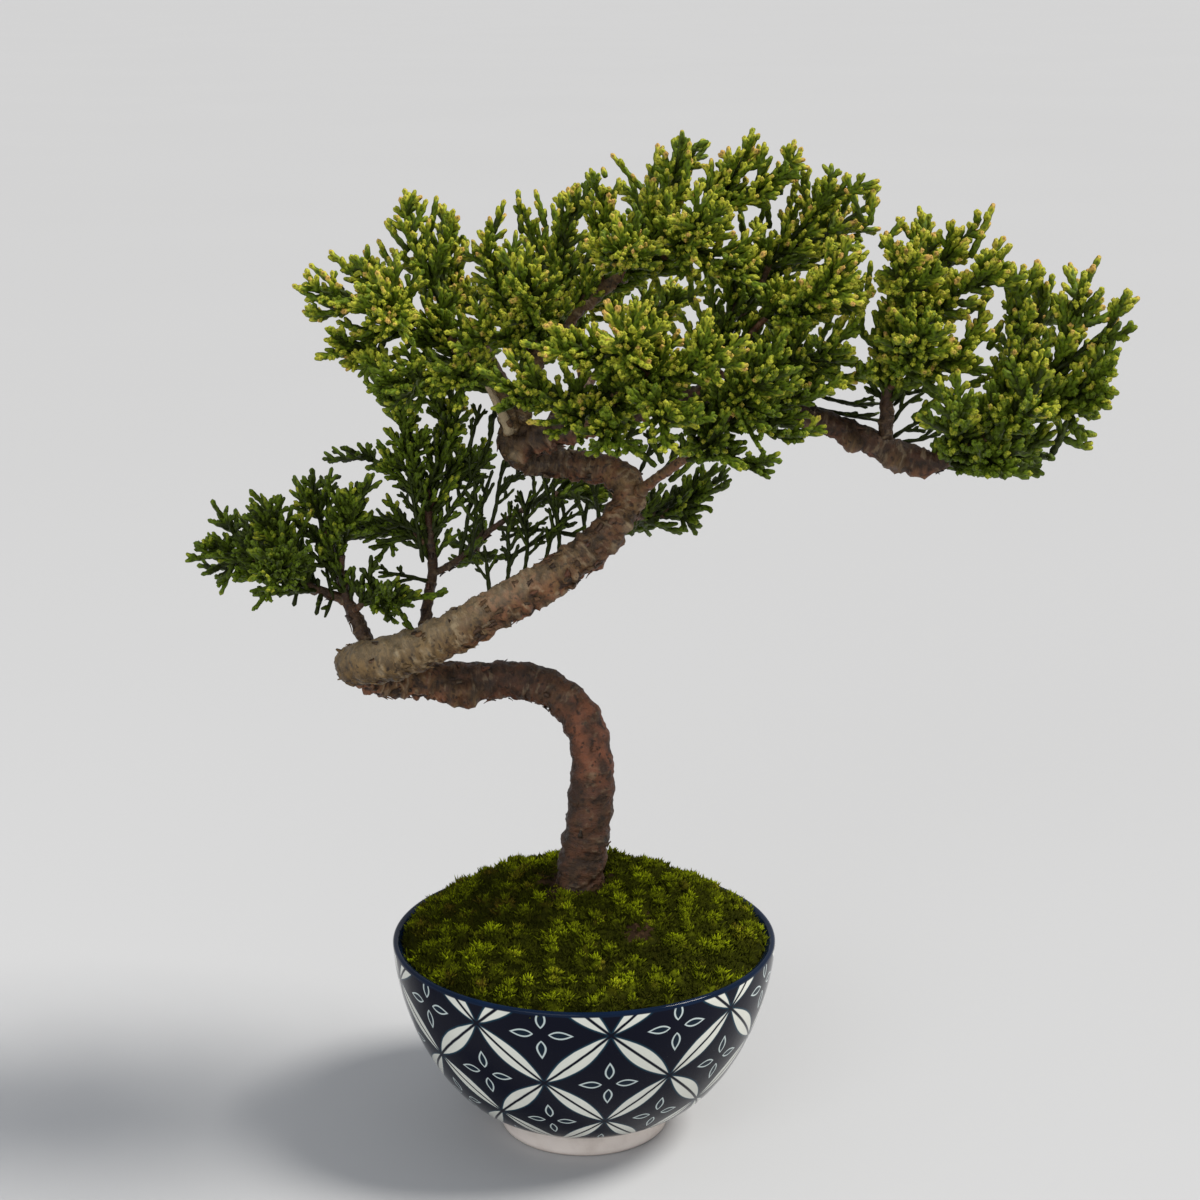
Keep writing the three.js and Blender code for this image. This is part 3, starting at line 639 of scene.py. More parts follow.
def new_material(name):
    """A material with its tree and its shader."""
    material = bpy.data.materials.new(name)
    material.use_nodes = True
    tree = material.node_tree
    return material, tree, tree.nodes["Principled BSDF"]


def paint(tree, shader, tint, roughness, specular=0.5):
    """Gives a shader its colour, roughness and specular level."""
    connect(tree, shader.inputs["Base Color"], tint)
    connect(tree, shader.inputs["Roughness"], roughness)
    shader.inputs["Specular IOR Level"].default_value = specular


def set_bump(tree, shader, height, strength, distance):
    inputs = {"Height": height, "Strength": strength, "Distance": distance}
    bump = node(tree, "ShaderNodeBump", inputs)
    tree.links.new(bump.outputs["Normal"], shader.inputs["Normal"])


# The bowl


# Numbers of the bowl's three finishes.
OUTSIDE, INSIDE, BARE = 0, 1, 2


def outer_wall_point(turn):
    """Radius and height of the outer wall: turn is 0 at the foot and a right angle at the rim."""
    radius = WALL_START_RADIUS + (RIM_RADIUS - WALL_START_RADIUS) * math.sin(turn) ** 1.15
    return radius, WALL_START_HEIGHT + (BOWL_HEIGHT - WALL_START_HEIGHT) * (1 - math.cos(turn) ** 1.2)


def inner_wall_point(turn):
    """The same for the inner wall, from the edge of the floor to the rim."""
    radius = FLOOR_EDGE + (RIM_RADIUS - WALL - FLOOR_EDGE) * math.sin(turn) ** 1.1
    return radius, FLOOR_TOP + (BOWL_HEIGHT - 1 - FLOOR_TOP) * (1 - math.cos(turn) ** 1.2)


def bowl_profile():
    """Rows of (radius, height, finish) from the drain hole round the foot, wall and rim."""
    foot_inner = FOOT_RADIUS - FOOT_WIDTH
    rows = [
        (DRAIN_RADIUS, RECESS_DEPTH + 0.4, BARE), (DRAIN_RADIUS + 0.5, RECESS_DEPTH, BARE),
        (foot_inner - 2.4, RECESS_DEPTH, BARE), (foot_inner - 1.4, RECESS_DEPTH - 0.4, BARE),
        (foot_inner - 0.1, 0.6, BARE), (foot_inner + 0.5, 0, BARE), (FOOT_RADIUS - 0.7, 0, BARE),
        (FOOT_RADIUS - 0.1, 0.5, BARE), (FOOT_RADIUS + 0.2, 2, BARE), (FOOT_RADIUS + 0.5, 6, BARE),
        (FOOT_RADIUS + 1.0, FOOT_HEIGHT, BARE),
    ]
    turns = np.linspace(0.14, 0.5 * math.pi, 40)
    rows += [(*outer_wall_point(turn), OUTSIDE) for turn in turns]
    top = BOWL_HEIGHT + 0.8
    rows += [
        (RIM_RADIUS - 0.1, BOWL_HEIGHT + 0.3, OUTSIDE), (RIM_RADIUS - 0.4, top - 0.15, OUTSIDE),
        (RIM_RADIUS - 0.8, top, OUTSIDE), (RIM_RADIUS - 1.3, top - 0.05, OUTSIDE),
        (RIM_RADIUS - 2.0, top - 0.5, OUTSIDE), (RIM_RADIUS - 2.6, top - 1.1, OUTSIDE),
    ]
    turns = np.linspace(0.5 * math.pi, 0, 22)
    rows += [(*inner_wall_point(turn), INSIDE) for turn in turns]
    rows += [(DRAIN_RADIUS + 0.5, FLOOR_TOP, INSIDE), (DRAIN_RADIUS, FLOOR_TOP - 0.5, INSIDE)]
    return rows


def lattice_marks(tree, across, down, width, rib):
    """Masks of the petals, the outlined leaves and the bleed round them, on a square net
    of petals that stands on its corners. width and rib are shares of a petal's length."""
    m = sums(tree)
    net = [m("MULTIPLY", m(sign, across, down), 0.5) for sign in ("ADD", "SUBTRACT")]
    parts = [m("SUBTRACT", m("FRACT", value), 0.5) for value in net]
    petals = []
    for i in (0, 1):
        way = m("MULTIPLY", parts[i], 2 / PETAL_REACH)
        bow = m("SUBTRACT", 1.0, m("POWER", m("ABSOLUTE", way), PETAL_FULLNESS))
        aside = m("SUBTRACT", 0.5, m("ABSOLUTE", parts[1 - i]))
        edge = m("SUBTRACT", m("MULTIPLY", bow, 0.5 * width), aside)
        petals.append((edge, aside))
    slant = [m("ABSOLUTE", m(sign, *parts)) for sign in ("ADD", "SUBTRACT")]
    leaves = []
    for i in (0, 1):
        way = m("DIVIDE", m("SUBTRACT", slant[i], 0.1), 0.4)
        inside = m("MINIMUM", m("MAXIMUM", way, 0.0), 1.0)
        bow = m("SINE", m("MULTIPLY", m("POWER", inside, 0.8), math.pi))
        leaves.append(m("SUBTRACT", m("MULTIPLY", bow, LEAF_WIDTH), m("ADD", slant[1 - i], 0.018)))
    leaf = m("MAXIMUM", *leaves)
    petal = m("MAXIMUM", *[edge for edge, _ in petals])
    ribs = m("MINIMUM", *[ramp(tree, aside, 0.3 * rib, 0.7 * rib) for _, aside in petals])
    white = m("MULTIPLY", ramp(tree, petal, -0.004, 0.006), ribs)
    outline = m("MULTIPLY", ramp(tree, leaf, -0.008, 0.006), ramp(tree, leaf, 0.018, 0.032, 1, 0))
    near_leaf = m("MULTIPLY", ramp(tree, leaf, -0.014, 0.006), 0.7)
    near = m("MAXIMUM", ramp(tree, petal, -0.03, 0.005), near_leaf)
    bleed = m("MULTIPLY", near, m("MULTIPLY", ribs, ramp(tree, leaf, 0.018, 0.032, 1, 0.25)))
    return white, outline, bleed


def drawn_glaze(settings):
    """Dark glaze with the white lattice under it, and the blue line round the rim."""
    material, tree, shader = new_material("drawn_glaze")
    below_rim = read(tree, "below_rim", "Fac")
    spot = node(tree, "ShaderNodeSeparateXYZ", {0: place_in_object(tree)}).outputs
    width, rib = (size / (PETAL_LENGTH * MM) for size in (settings.petal_width, settings.rib_width))
    shift = node(tree, "ShaderNodeTexNoise", {"Vector": place_in_object(tree), "Scale": 160.0})
    m = sums(tree)
    sway = m("MULTIPLY", m("SUBTRACT", shift.outputs[0], 0.5), 0.02)
    angle = m("ARCTAN2", spot["Y"], m("SUBTRACT", spot["X"], AXIS_X * MM))
    around = m("MULTIPLY", m("ADD", angle, math.radians(FIRST_KNOT)), REPEATS / math.pi)
    rows = m("DIVIDE", m("SUBTRACT", below_rim, FIRST_ROW), ROW_HEIGHT)
    across, down = m("ADD", around, sway), m("ADD", rows, sway)
    white, outline, bleed = lattice_marks(tree, across, down, width, rib)
    shown = mottle(tree, 55.0, 700.0, 0.25, 0.8)["Mask"]
    dark = blend(tree, m("MULTIPLY", bleed, 0.75), settings.glaze, settings.bleed)
    lit = blend(tree, m("MULTIPLY", outline, 0.85), dark, settings.leaf_lines)
    pale = blend(tree, shown, scaled(settings.petals, 0.86), settings.petals)
    drawn = blend(tree, white, lit, pale)
    line = ramp(tree, below_rim, *LINE_FADE, 1, 0)
    blue = blend(tree, shown, scaled(settings.rim_line, 0.5), settings.rim_line)
    roughness = m("ADD", 0.07, m("MULTIPLY", shown, 0.06))
    paint(tree, shader, blend(tree, line, drawn, blue), roughness, 0.1)
    set_bump(tree, shader, shown, 0.12, 0.0006)
    return material


def plain_glaze(settings):
    """Pale glaze inside the bowl, stained a little by the soil."""
    material, tree, shader = new_material("pale_glaze")
    spots = mottle(tree, 90.0, 900.0, 0.45, 0.7)["Mask"]
    paint(tree, shader, blend(tree, spots, settings.inside, scaled(settings.inside, 0.75)), 0.14)
    set_bump(tree, shader, spots, 0.1, 0.0005)
    return material


def bare_ceramic(settings):
    """Cream ceramic of the foot, darker where it has stood."""
    material, tree, shader = new_material("bare_ceramic")
    spots = mottle(tree, 120.0, 1800.0, 0.4, 0.75)
    height = node(tree, "ShaderNodeSeparateXYZ", {0: place_in_object(tree)}).outputs["Z"]
    m = sums(tree)
    worn = m("MAXIMUM", m("MULTIPLY", spots["Mask"], 0.5), ramp(tree, height, 0.0, 0.0012, 1, 0))
    roughness = m("ADD", 0.3, m("MULTIPLY", spots["Grain"], 0.3))
    paint(tree, shader, blend(tree, worn, settings.foot, settings.worn_foot), roughness)
    set_bump(tree, shader, spots["Grain"], 0.2, 0.0003)
    return material


def make_bowl(settings):
    rows = bowl_profile()
    columns = 180
    places = np.array([row[:2] for row in rows])
    gone = gone_along(places)
    first_inside = next(i for i, row in enumerate(rows) if row[2] == INSIDE)
    # The rim's top is the fourth row before the inside.
    below_rim = gone[first_inside - 4] - gone
    angles = angles_round(columns)
    points = [(r * math.cos(a), r * math.sin(a), z) for r, z in places for a in angles]
    finishes = np.tile(np.repeat([row[2] for row in rows[:-1]], columns), 2)
    loop = np.arange(columns)
    last = (len(rows) - 1) * columns
    following = (loop + 1) % columns
    faces = np.vstack([
        grid_faces(len(rows), columns),
        np.stack([last + loop, last + following, following], 1),
        np.stack([last + loop, following, loop], 1),
    ])
    slots = np.append(finishes, np.full(2 * columns, BARE))
    surface = Surface("below_rim")
    surface.add(points, faces, slots, below_rim=np.repeat(below_rim, columns))
    materials = [finish(settings) for finish in (drawn_glaze, plain_glaze, bare_ceramic)]
    piece = surface.build("bowl_wall", *materials)
    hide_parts("bowl")


# The net, the soil and the moss


def net_plastic(settings):
    """Dark plastic net with dust of the soil on it."""
    material, tree, shader = new_material("net_plastic")
    dust = mottle(tree, 700.0, 3000.0, 0.5, 0.7)
    paint(tree, shader, blend(tree, dust["Mask"], settings.net, settings.net_dust), 0.55)
    set_bump(tree, shader, dust["Grain"], 0.3, 0.0002)
    return material


def soil_grains(settings, name="soil_grains"):
    """Dark crumbly soil with paler grains."""
    material, tree, shader = new_material(name)
    place = place_in_object(tree)
    grains = node(tree, "ShaderNodeTexVoronoi", {"Vector": place, "Scale": 620.0})
    damp = mottle(tree, 110.0, 1500.0, 0.35, 0.65, place)
    m = sums(tree)
    lone = node(tree, "ShaderNodeSeparateColor", {0: grains.outputs["Color"]}).outputs[0]
    pale = m("MULTIPLY", m("GREATER_THAN", lone, 0.72), 0.6)
    ground = blend(tree, damp["Mask"], scaled(settings.earth, 0.45), settings.earth)
    paint(tree, shader, blend(tree, pale, ground, scaled(settings.earth, 2.0)), 0.95, 0.1)
    set_bump(tree, shader, m("ADD", grains.outputs["Distance"], damp["Grain"]), 0.8, 0.0006)
    return material


def moss_shoots(settings):
    """Moss that is darker low in its tufts, with bright and dry tips in patches."""
    material, tree, shader = new_material("moss_shoots")
    tuft = mottle(tree, 70.0, 1400.0, 0.38, 0.66)
    tall, tone = read(tree, "tall", "Fac"), read(tree, "tone", "Fac")
    m = sums(tree)
    older = m("SUBTRACT", 1.0, m("MULTIPLY", tuft["Mask"], 0.8))
    dry = m("MULTIPLY", ramp(tree, tone, 0.45, 0.78), older)
    tips = blend(tree, dry, settings.bright, settings.dry)
    lush = m("MULTIPLY", ramp(tree, tall, 0.0, 1.0), m("ADD", 0.45, m("MULTIPLY", tuft["Mask"], 0.6)))
    paint(tree, shader, blend(tree, lush, settings.deep, tips), 0.8, 0.03)
    set_bump(tree, shader, tuft["Grain"], 0.9, 0.0009)
    return material


def mound_height(radius):
    """The soil's height, in millimetres, at a distance from the bowl's axis."""
    out = np.minimum(radius / (RIM_RADIUS - WALL), 1)
    return SOIL_EDGE_HEIGHT + (SOIL_TOP_HEIGHT - SOIL_EDGE_HEIGHT) * (1 - out ** 2.7)


def bareness(x, y):
    """How thin the moss is at a place: 1 where the soil shows."""
    patch = 0.42 + 0.5 * wavy((x, y, 3), 15, 5.2) + 0.25 * wavy((x, y, 9), 6, 2.1)
    near_trunk = 1 - smooth_step(9, 17, math.hypot(x + 2, y))
    return max(smooth_step(0.66, 0.84, patch), 0.85 * near_trunk)


def clump_at(x, y):
    """How near a place is to the middle of its clump of moss, from 0 to 1, and a number
    from 0 to 1 that the whole clump shares."""
    distances, middles = noise.voronoi(Vector((x, y, 0.3 * math.sin(x))) / CLUMP_SIZE)
    return 1 - smooth_step(0.05, 0.62, distances[0]), noise.cell(middles[0] * 9.7)


def moss_top(x, y):
    """Height of the cushions of moss that the shoots stand on."""
    radius = math.hypot(x, y)
    cushions = 0.8 * wavy((x, y, 0), 14) + 0.6 * wavy((x, y, 5), 6) + 0.35 * wavy((x, y, 8), 1.9)
    edge = smooth_step(0, 2.5, MOSS_EDGE - radius)
    piled = 2.2 * smooth_step(42, MOSS_EDGE, radius)
    lush = 1 - 0.6 * bareness(x, y)
    level = mound_height(radius) + (0.6 + 1.1 * edge) * (0.4 + 0.6 * lush + 1.1 * cushions)
    return level + piled + 2.4 * (0.4 + 0.6 * edge) * lush * clump_at(x, y)[0]


def moss_leaf(rng, foot, lean, height, width):
    """Points of one moss shoot: a slim three-sided spike, with its tip last."""
    up = unit(np.array([lean[0], lean[1], 1.0]))
    side = square_to(up)
    other = np.cross(up, side)
    angles = rng.uniform(0, 2 * math.pi) + np.arange(3) * 2 * math.pi / 3
    ring = np.cos(angles)[:, None] * side + np.sin(angles)[:, None] * other
    return np.vstack([foot + ring * width, foot + up * height])


LEAF_FACES = np.array([(0, 1, 3), (1, 2, 3), (2, 0, 3)])


def add_cushions(surface):
    """The sheet of moss that the shoots stand on, with bare soil where it is thin."""
    rings, columns = 62, 200
    radii = MOSS_EDGE * np.linspace(0, 1, rings + 1)[1:] ** 0.9
    angles = angles_round(columns)
    sheet = [(r * math.cos(a), r * math.sin(a)) for r in radii for a in angles]
    low = mound_height(MOSS_EDGE) - 1.5
    top = [(x, y, moss_top(x, y)) for x, y in sheet]
    under = [(x, y, low) for x, y in sheet[-columns:]]
    points = np.array([(0, 0, moss_top(0, 0)), *top, *under, (0, 0, low)])
    end = 1 + rings * columns
    # The rings run outwards, so their faces are turned over.
    faces = np.vstack([
        fan_faces(0, 1, columns, True),
        1 + grid_faces(rings, columns)[:, ::-1],
        end - columns + grid_faces(2, columns)[:, ::-1],
        fan_faces(end + columns, end, columns, False),
    ])
    bare = np.array([1.0, *(bareness(x, y) for x, y in sheet), *np.ones(columns + 1)])
    slots = (bare[faces].mean(1) > 0.5).astype(int)
    clumps = [clump_at(*point[:2]) for point in points]
    tall = [
        0.3 * middle + 0.15 * wavy((*point[:2], 2), 0.9) for point, (middle, _) in zip(points, clumps)
    ]
    surface.add(points, faces, slots, tall=tall, tone=[tone for _, tone in clumps])


def add_tufts(surface, settings):
    """Tufts of moss shoots, close together in the clumps and sparse where the soil shows."""
    rng = np.random.default_rng(SEED)
    for _ in range(settings.tufts):
        radius, angle = MOSS_EDGE * rng.random() ** 0.5, rng.uniform(0, 2 * math.pi)
        x, y = radius * math.cos(angle), radius * math.sin(angle)
        thin = bareness(x, y)
        if rng.random() < 0.75 * thin ** 2 or math.dist((x, y), TRUNK_FOOT) < TRUNK_CLEARING:
            continue
        middle, own = clump_at(x, y)
        if rng.random() > 0.62 + 0.6 * middle:
            continue
        lush = 0.46 - 0.004 * x + 0.5 * wavy((x, y, 1), 15, 1.3) + 0.45 * (own - 0.5)
        tone = min(max(lush + rng.normal(0, 0.14), 0), 1)
        edge = smooth_step(50, MOSS_EDGE, radius)
        tall = settings.shoot_height / MM * rng.uniform(0.6, 1.3) * (1 - 0.4 * thin)
        tall *= 1 + 0.5 * edge * rng.random()
        base = np.array([x, y, moss_top(x, y) - 0.6 + 0.9 * rng.random() ** 2])
        bright = (0.2 + 0.8 * middle) * (0.45 + 0.55 * rng.random() ** 1.5)
        for _ in range(TUFT_LEAVES):
            away = rng.normal(0, 1, 2)
            foot = base + (0.5 * away[0], 0.5 * away[1], 0)
            height = tall * rng.uniform(0.5, 1.1)
            leaf = moss_leaf(rng, foot, away * rng.uniform(0.35, 0.9), height, rng.uniform(0.36, 0.62))
            surface.add(leaf, LEAF_FACES, tall=(0.05, 0.05, 0.05, bright), tone=tone)


def make_moss(settings):
    surface = Surface("tall", "tone")
    add_cushions(surface)
    add_tufts(surface, settings)
    piece = surface.build("moss_tufts", moss_shoots(settings), soil_grains(settings, "bare_soil"))
    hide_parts("moss")


# The wood


# Knots, cuts and buds on the trunk: place, radius, height, and how pale the middle is.
KNOTS = [
    ((2.6, -7, 118), 2.6, 0.9, 0.25),
    ((-37, 5, 139.5), 4.4, 2.0, 0.0),
    ((-31, 5, 141), 2.6, 1.0, 0.0),
    ((-60, -14.5, 155), 3.0, 0.9, 0.5),
    ((-55, -16, 160), 2.0, 0.8, 0.8),
    ((-46, -18, 162), 2.4, 0.8, 0.4),
    ((7.5, -5.5, 208.5), 3.6, 0.9, 0.9),
    ((13, -6, 196), 2.6, 0.8, 0.3),
    ((-20, 4, 216), 3.4, 1.2, 0.35),
    ((80, 4, 218), 3.8, 2.2, 0.1),
    ((93, 4, 212), 4.2, 2.1, 0.1),
    ((101, 6, 210), 3.4, 2.0, 0.15),
    ((34, -3, 230), 2.6, 1.0, 0.2),
]

# How the bark changes along each length of the trunk, at evenly spread places from its start to its end:
# how weathered, how red, how flaky and how much paler its top is painted, as a highlight from above, from
# 0 to 1.
TRUNK_BARK = [
    {
        "tan": (0.1, 0.12, 0.25, 0.25, 0.2, 0.2, 0.15, 0.05, 0.12, 0.25, 0.12, 0.12, 0.2, 0.45, 0.5, 0.4),
        "red": (0.8, 0.9, 0.5, 0.4, 0.45, 0.4, 0.45, 0.85, 0.75, 0.35, 0.4, 0.35, 0.4, 0.55, 0.5, 0.4),
        "flaky": (0.5, 0.6, 0.6, 0.55, 0.5, 0.35, 0.15, 0.05, 0.2, 0.3, 0.35, 0.4, 0.5, 0.9, 1.0, 1.0),
    },
    {
        "tan": (0.7, 0.75, 0.75, 0.8, 0.75, 0.45, 0.45, 0.6, 0.35, 0.4, 0.6),
        "red": (0.0, 0.0, 0.1, 0.2, 0.5, 1.0, 1.0, 0.6, 0.35, 0.5, 0.65),
        "flaky": (0.25, 0.25, 0.3, 0.4, 0.6, 0.8, 0.8, 0.8, 0.8, 0.7, 0.5),
        "top_highlight": (0.25, 0.3, 0.4, 0.35, 0.3, 0.35, 0.3, 0.1, 0.05, 0.0, 0.0),
    },
    {
        "tan": (0.65, 0.6, 0.45, 0.35, 0.30, 0.30, 0.4, 0.45),
        "red": (0.65, 0.65, 0.5, 0.4, 0.25, 0.2, 0.1, 0.1),
        "flaky": (0.4, 0.4, 0.5, 0.6, 0.6, 0.6, 0.6, 0.5),
    },
]

# The same for the limbs and for the stalks of the sprays. "pale" says how bare the wood is.
COMMON_BARK = {"tan": (0.3, 0.2, 0.15), "red": (0.25, 0.3, 0.35), "flaky": (0.9, 0.7, 0.4)}
WEATHERED_BARK = {"tan": (0.7, 0.65, 0.5), "red": (0.3, 0.3, 0.35), "flaky": (0.6, 0.5, 0.4)}
LIMB_BARK = {
    "elbow_limb": {"tan": (0.5, 0.5, 0.35), "red": (0.6, 0.5, 0.4), "flaky": (0.5, 0.4, 0.3)},
    "front_limb": WEATHERED_BARK,
    "top_limb": WEATHERED_BARK,
    "upper_left_limb": WEATHERED_BARK,
    "dead_stub": {"tan": (1, 1, 1), "red": (0, 0, 0), "flaky": (0.5, 0.3, 0.3), "pale": 0.85},
}
STALK_BARK = {"tan": (0.35, 0.3, 0.2), "red": (0.4, 0.5, 0.5), "flaky": (0.3, 0.2, 0.1)}

# How many flakes are tried on each length of the trunk and on the limbs.
TRUNK_FLAKES = (320, 440, 160)
LIMB_FLAKES = {"right_limb": 150}
FEW_FLAKES = 12

# Width of the faces of the bark, in millimetres.
BARK_FACE = 0.72


def along_list(values, part):
    """The value at a part of the way through an evenly spread list."""
    return float(np.interp(part * (len(values) - 1), np.arange(len(values)), values))


def bark_swell(distance, angle):
    """The lumps and ridges that the solids have too."""
    ridges = math.sin(distance * 0.82 + 1.3 * math.sin(angle + distance * 0.05))
    lumps = math.sin(2 * angle + distance * 0.17) * math.sin(distance * 0.11 + 1)
    return 1 + 0.045 * ridges + 0.06 * lumps


def knot_at(point):
    """How far a knot stands out at a point, and how pale it is there."""
    height, pale = 0.0, 0.0
    for place, radius, tall, light in KNOTS:
        away = math.dist(point, place) / radius
        if away < 1.6:
            collar = math.exp(-((away - 0.75) / 0.35) ** 2)
            height = max(height, tall * (0.55 * (1 - smooth_step(0.5, 1.6, away)) + 0.6 * collar))
            pale = max(pale, light * (1 - smooth_step(0.45, 0.8, away)))
    return height, pale


def bark_relief(straight, flaky, depth):
    """Plates, cracks and rings of bark, as a height, at a place on the straightened limb:
    the first two numbers go round it and the third along it."""
    x, y, z = straight
    plate = wavy((0.7 * x, 0.7 * y, z), 2.3, 3.3)
    plate = smooth_step(-0.15, 0.15, plate) + 0.4 * smooth_step(0.2, 0.35, plate)
    crack = 1 - smooth_step(0.0, 0.1, abs(wavy((x, y, z * 1.4), 4.2, 7.7)))
    fine = wavy(straight, 0.8, 1.9)
    wrinkle = wavy((0.22 * x, 0.22 * y, z), 1.3, 4.4)
    wrinkle = smooth_step(-0.1, 0.35, wrinkle) - 0.5
    return depth * (flaky * (plate - 0.7 - 0.7 * crack) + 0.35 * fine + (0.3 + 0.3 * flaky) * wrinkle)


def add_limb(surface, points, settings, bark, swell, end_nose, start_nose=0.0, spacing=1.0):
    """A closed limb with its bark. bark gives the values of the bark along it."""
    path, radii = Curve(points).evenly(spacing)
    columns = int(np.clip(round(2 * math.pi * max(radii) / BARK_FACE), 9, 62))
    sides, ups = frames_along(path)
    ways = directions_of(path)
    gone = gone_along(path)
    rows = [(path[i], radii[i], i) for i in range(len(path))]
    last = len(path) - 1
    for nose, i, sign in ((start_nose, 0, -1), (end_nose, last, 1)):
        steps = (0.35, 0.65, 0.88) if nose else ()
        capped = []
        for t in steps:
            turn = 0.5 * math.pi * t
            centre = path[i] + sign * ways[i] * nose * math.sin(turn)
            capped.append((centre, radii[i] * math.cos(turn), i))
        rows = rows + capped if sign > 0 else capped[::-1] + rows
    depth = settings.flake_depth / MM
    angles = np.arange(columns) * 2 * math.pi / columns
    points_out = []
    values = {name: [] for name in ("tan", "red", "pale", "worn", "straight")}
    for centre, radius, i in rows:
        part = gone[i] / gone[-1]
        here = {name: along_list(bark[name], part) for name in ("tan", "red", "flaky")}
        for angle in angles:
            outward = turned(angle, sides[i], ups[i])
            reach = radius * (bark_swell(gone[i], angle) if swell else 1)
            straight = (radii[i] * math.cos(angle), radii[i] * math.sin(angle), gone[i])
            underside = smooth_step(0.15, 0.9, -outward[2])
            flaky = min(here["flaky"] * (0.75 + 0.6 * underside), 1.2) * min(radius / 3, 1)
            knot, pale = knot_at(centre + outward * reach)
            relief = bark_relief(straight, flaky, depth)
            reach += relief * min(radius / 2, 1) + knot
            points_out.append(centre + outward * reach)
            # Painted shade: on the thick limbs, worn is lowered on the left side (-X), away from the
            # light, so that this side turns as dark as the hollows.
            shady = smooth_step(0.25, 0.9, -outward[0]) if swell else 0
            values["worn"].append(smooth_step(-1.1, 0.5, relief / depth) * (1 - 0.75 * shady))
            values["straight"].append(straight)
            values["tan"].append(min(here["tan"] * (1 - 0.3 * underside) + 0.12 * knot, 1))
            values["red"].append(min(here["red"] + 0.6 * underside * here["flaky"], 1))
            # Painted highlight from above: the tops of some lengths turn paler, towards the dead wood's
            # colour.
            painted_highlight = along_list(bark.get("top_highlight", (0, 0)), part) * smooth_step(-0.2, 0.7, outward[2])
            values["pale"].append(max(pale, bark.get("pale", 0), painted_highlight))
    count = len(points_out)
    poles = [path[0] - ways[0] * start_nose, path[last] + ways[last] * end_nose]
    faces = np.vstack([
        grid_faces(len(rows), columns),
        fan_faces(count, 0, columns, False),
        fan_faces(count + 1, count - columns, columns, True),
    ])
    for name, kept in values.items():
        kept += [kept[0], kept[-1]]
    surface.add(np.vstack([points_out, poles]), faces, **values)
    return path, radii, sides, ups


def add_flakes(surface, rng, path, radii, sides, ups, count, bark):
    """Thin curled plates of bark that have lifted off at one end, most on the underside."""
    for _ in range(count):
        i = rng.integers(1, len(path) - 2)
        flaky = along_list(bark["flaky"], i / (len(path) - 1))
        angle = rng.uniform(0, 2 * math.pi)
        outward = turned(angle, sides[i], ups[i])
        if rng.random() > flaky * (0.35 if outward[2] > -0.1 else 1):
            continue
        way = unit(path[i + 1] - path[i]) * rng.choice([-1, 1])
        across = np.cross(outward, way)
        long, wide = rng.uniform(1.4, 3.0), rng.uniform(0.9, 2.0)
        lift = rng.uniform(0.2, 0.9)
        foot = path[i] + outward * radii[i] * 0.97
        rows = []
        for t in np.linspace(0, 1, 4):
            middle = foot + way * long * (t - 0.4) + outward * (lift * t * t + 0.15)
            half = wide * (0.75 - 0.45 * t) * (1 + rng.normal(0, 0.15))
            thick = outward * 0.2 * (1 - 0.5 * t)
            sag = outward * -0.12 * half
            left, right = middle - across * half + sag, middle + across * half + sag
            rows += [left, middle + thick, right, middle - thick]
        turn = 1 if np.dot(np.cross(rows[1] - rows[0], rows[4] - rows[0]), outward) > 0 else -1
        columns = np.arange(4)[::turn]
        grid = np.vstack([grid_faces(4, 4), [(3, 2, 1), (3, 1, 0)], [(12, 13, 14), (12, 14, 15)]])
        order = np.concatenate([4 * row + columns for row in range(4)])
        points = np.array(rows)[order]
        straight = (radii[i] * math.cos(angle), radii[i] * math.sin(angle), float(i))
        tan = along_list(bark["tan"], i / (len(path) - 1)) * rng.uniform(0.2, 1)
        red = rng.uniform(0.1, 0.6)
        worn = rng.uniform(0.3, 1)
        surface.add(points, grid, tan=tan, red=red, pale=0.0, worn=worn, straight=straight)


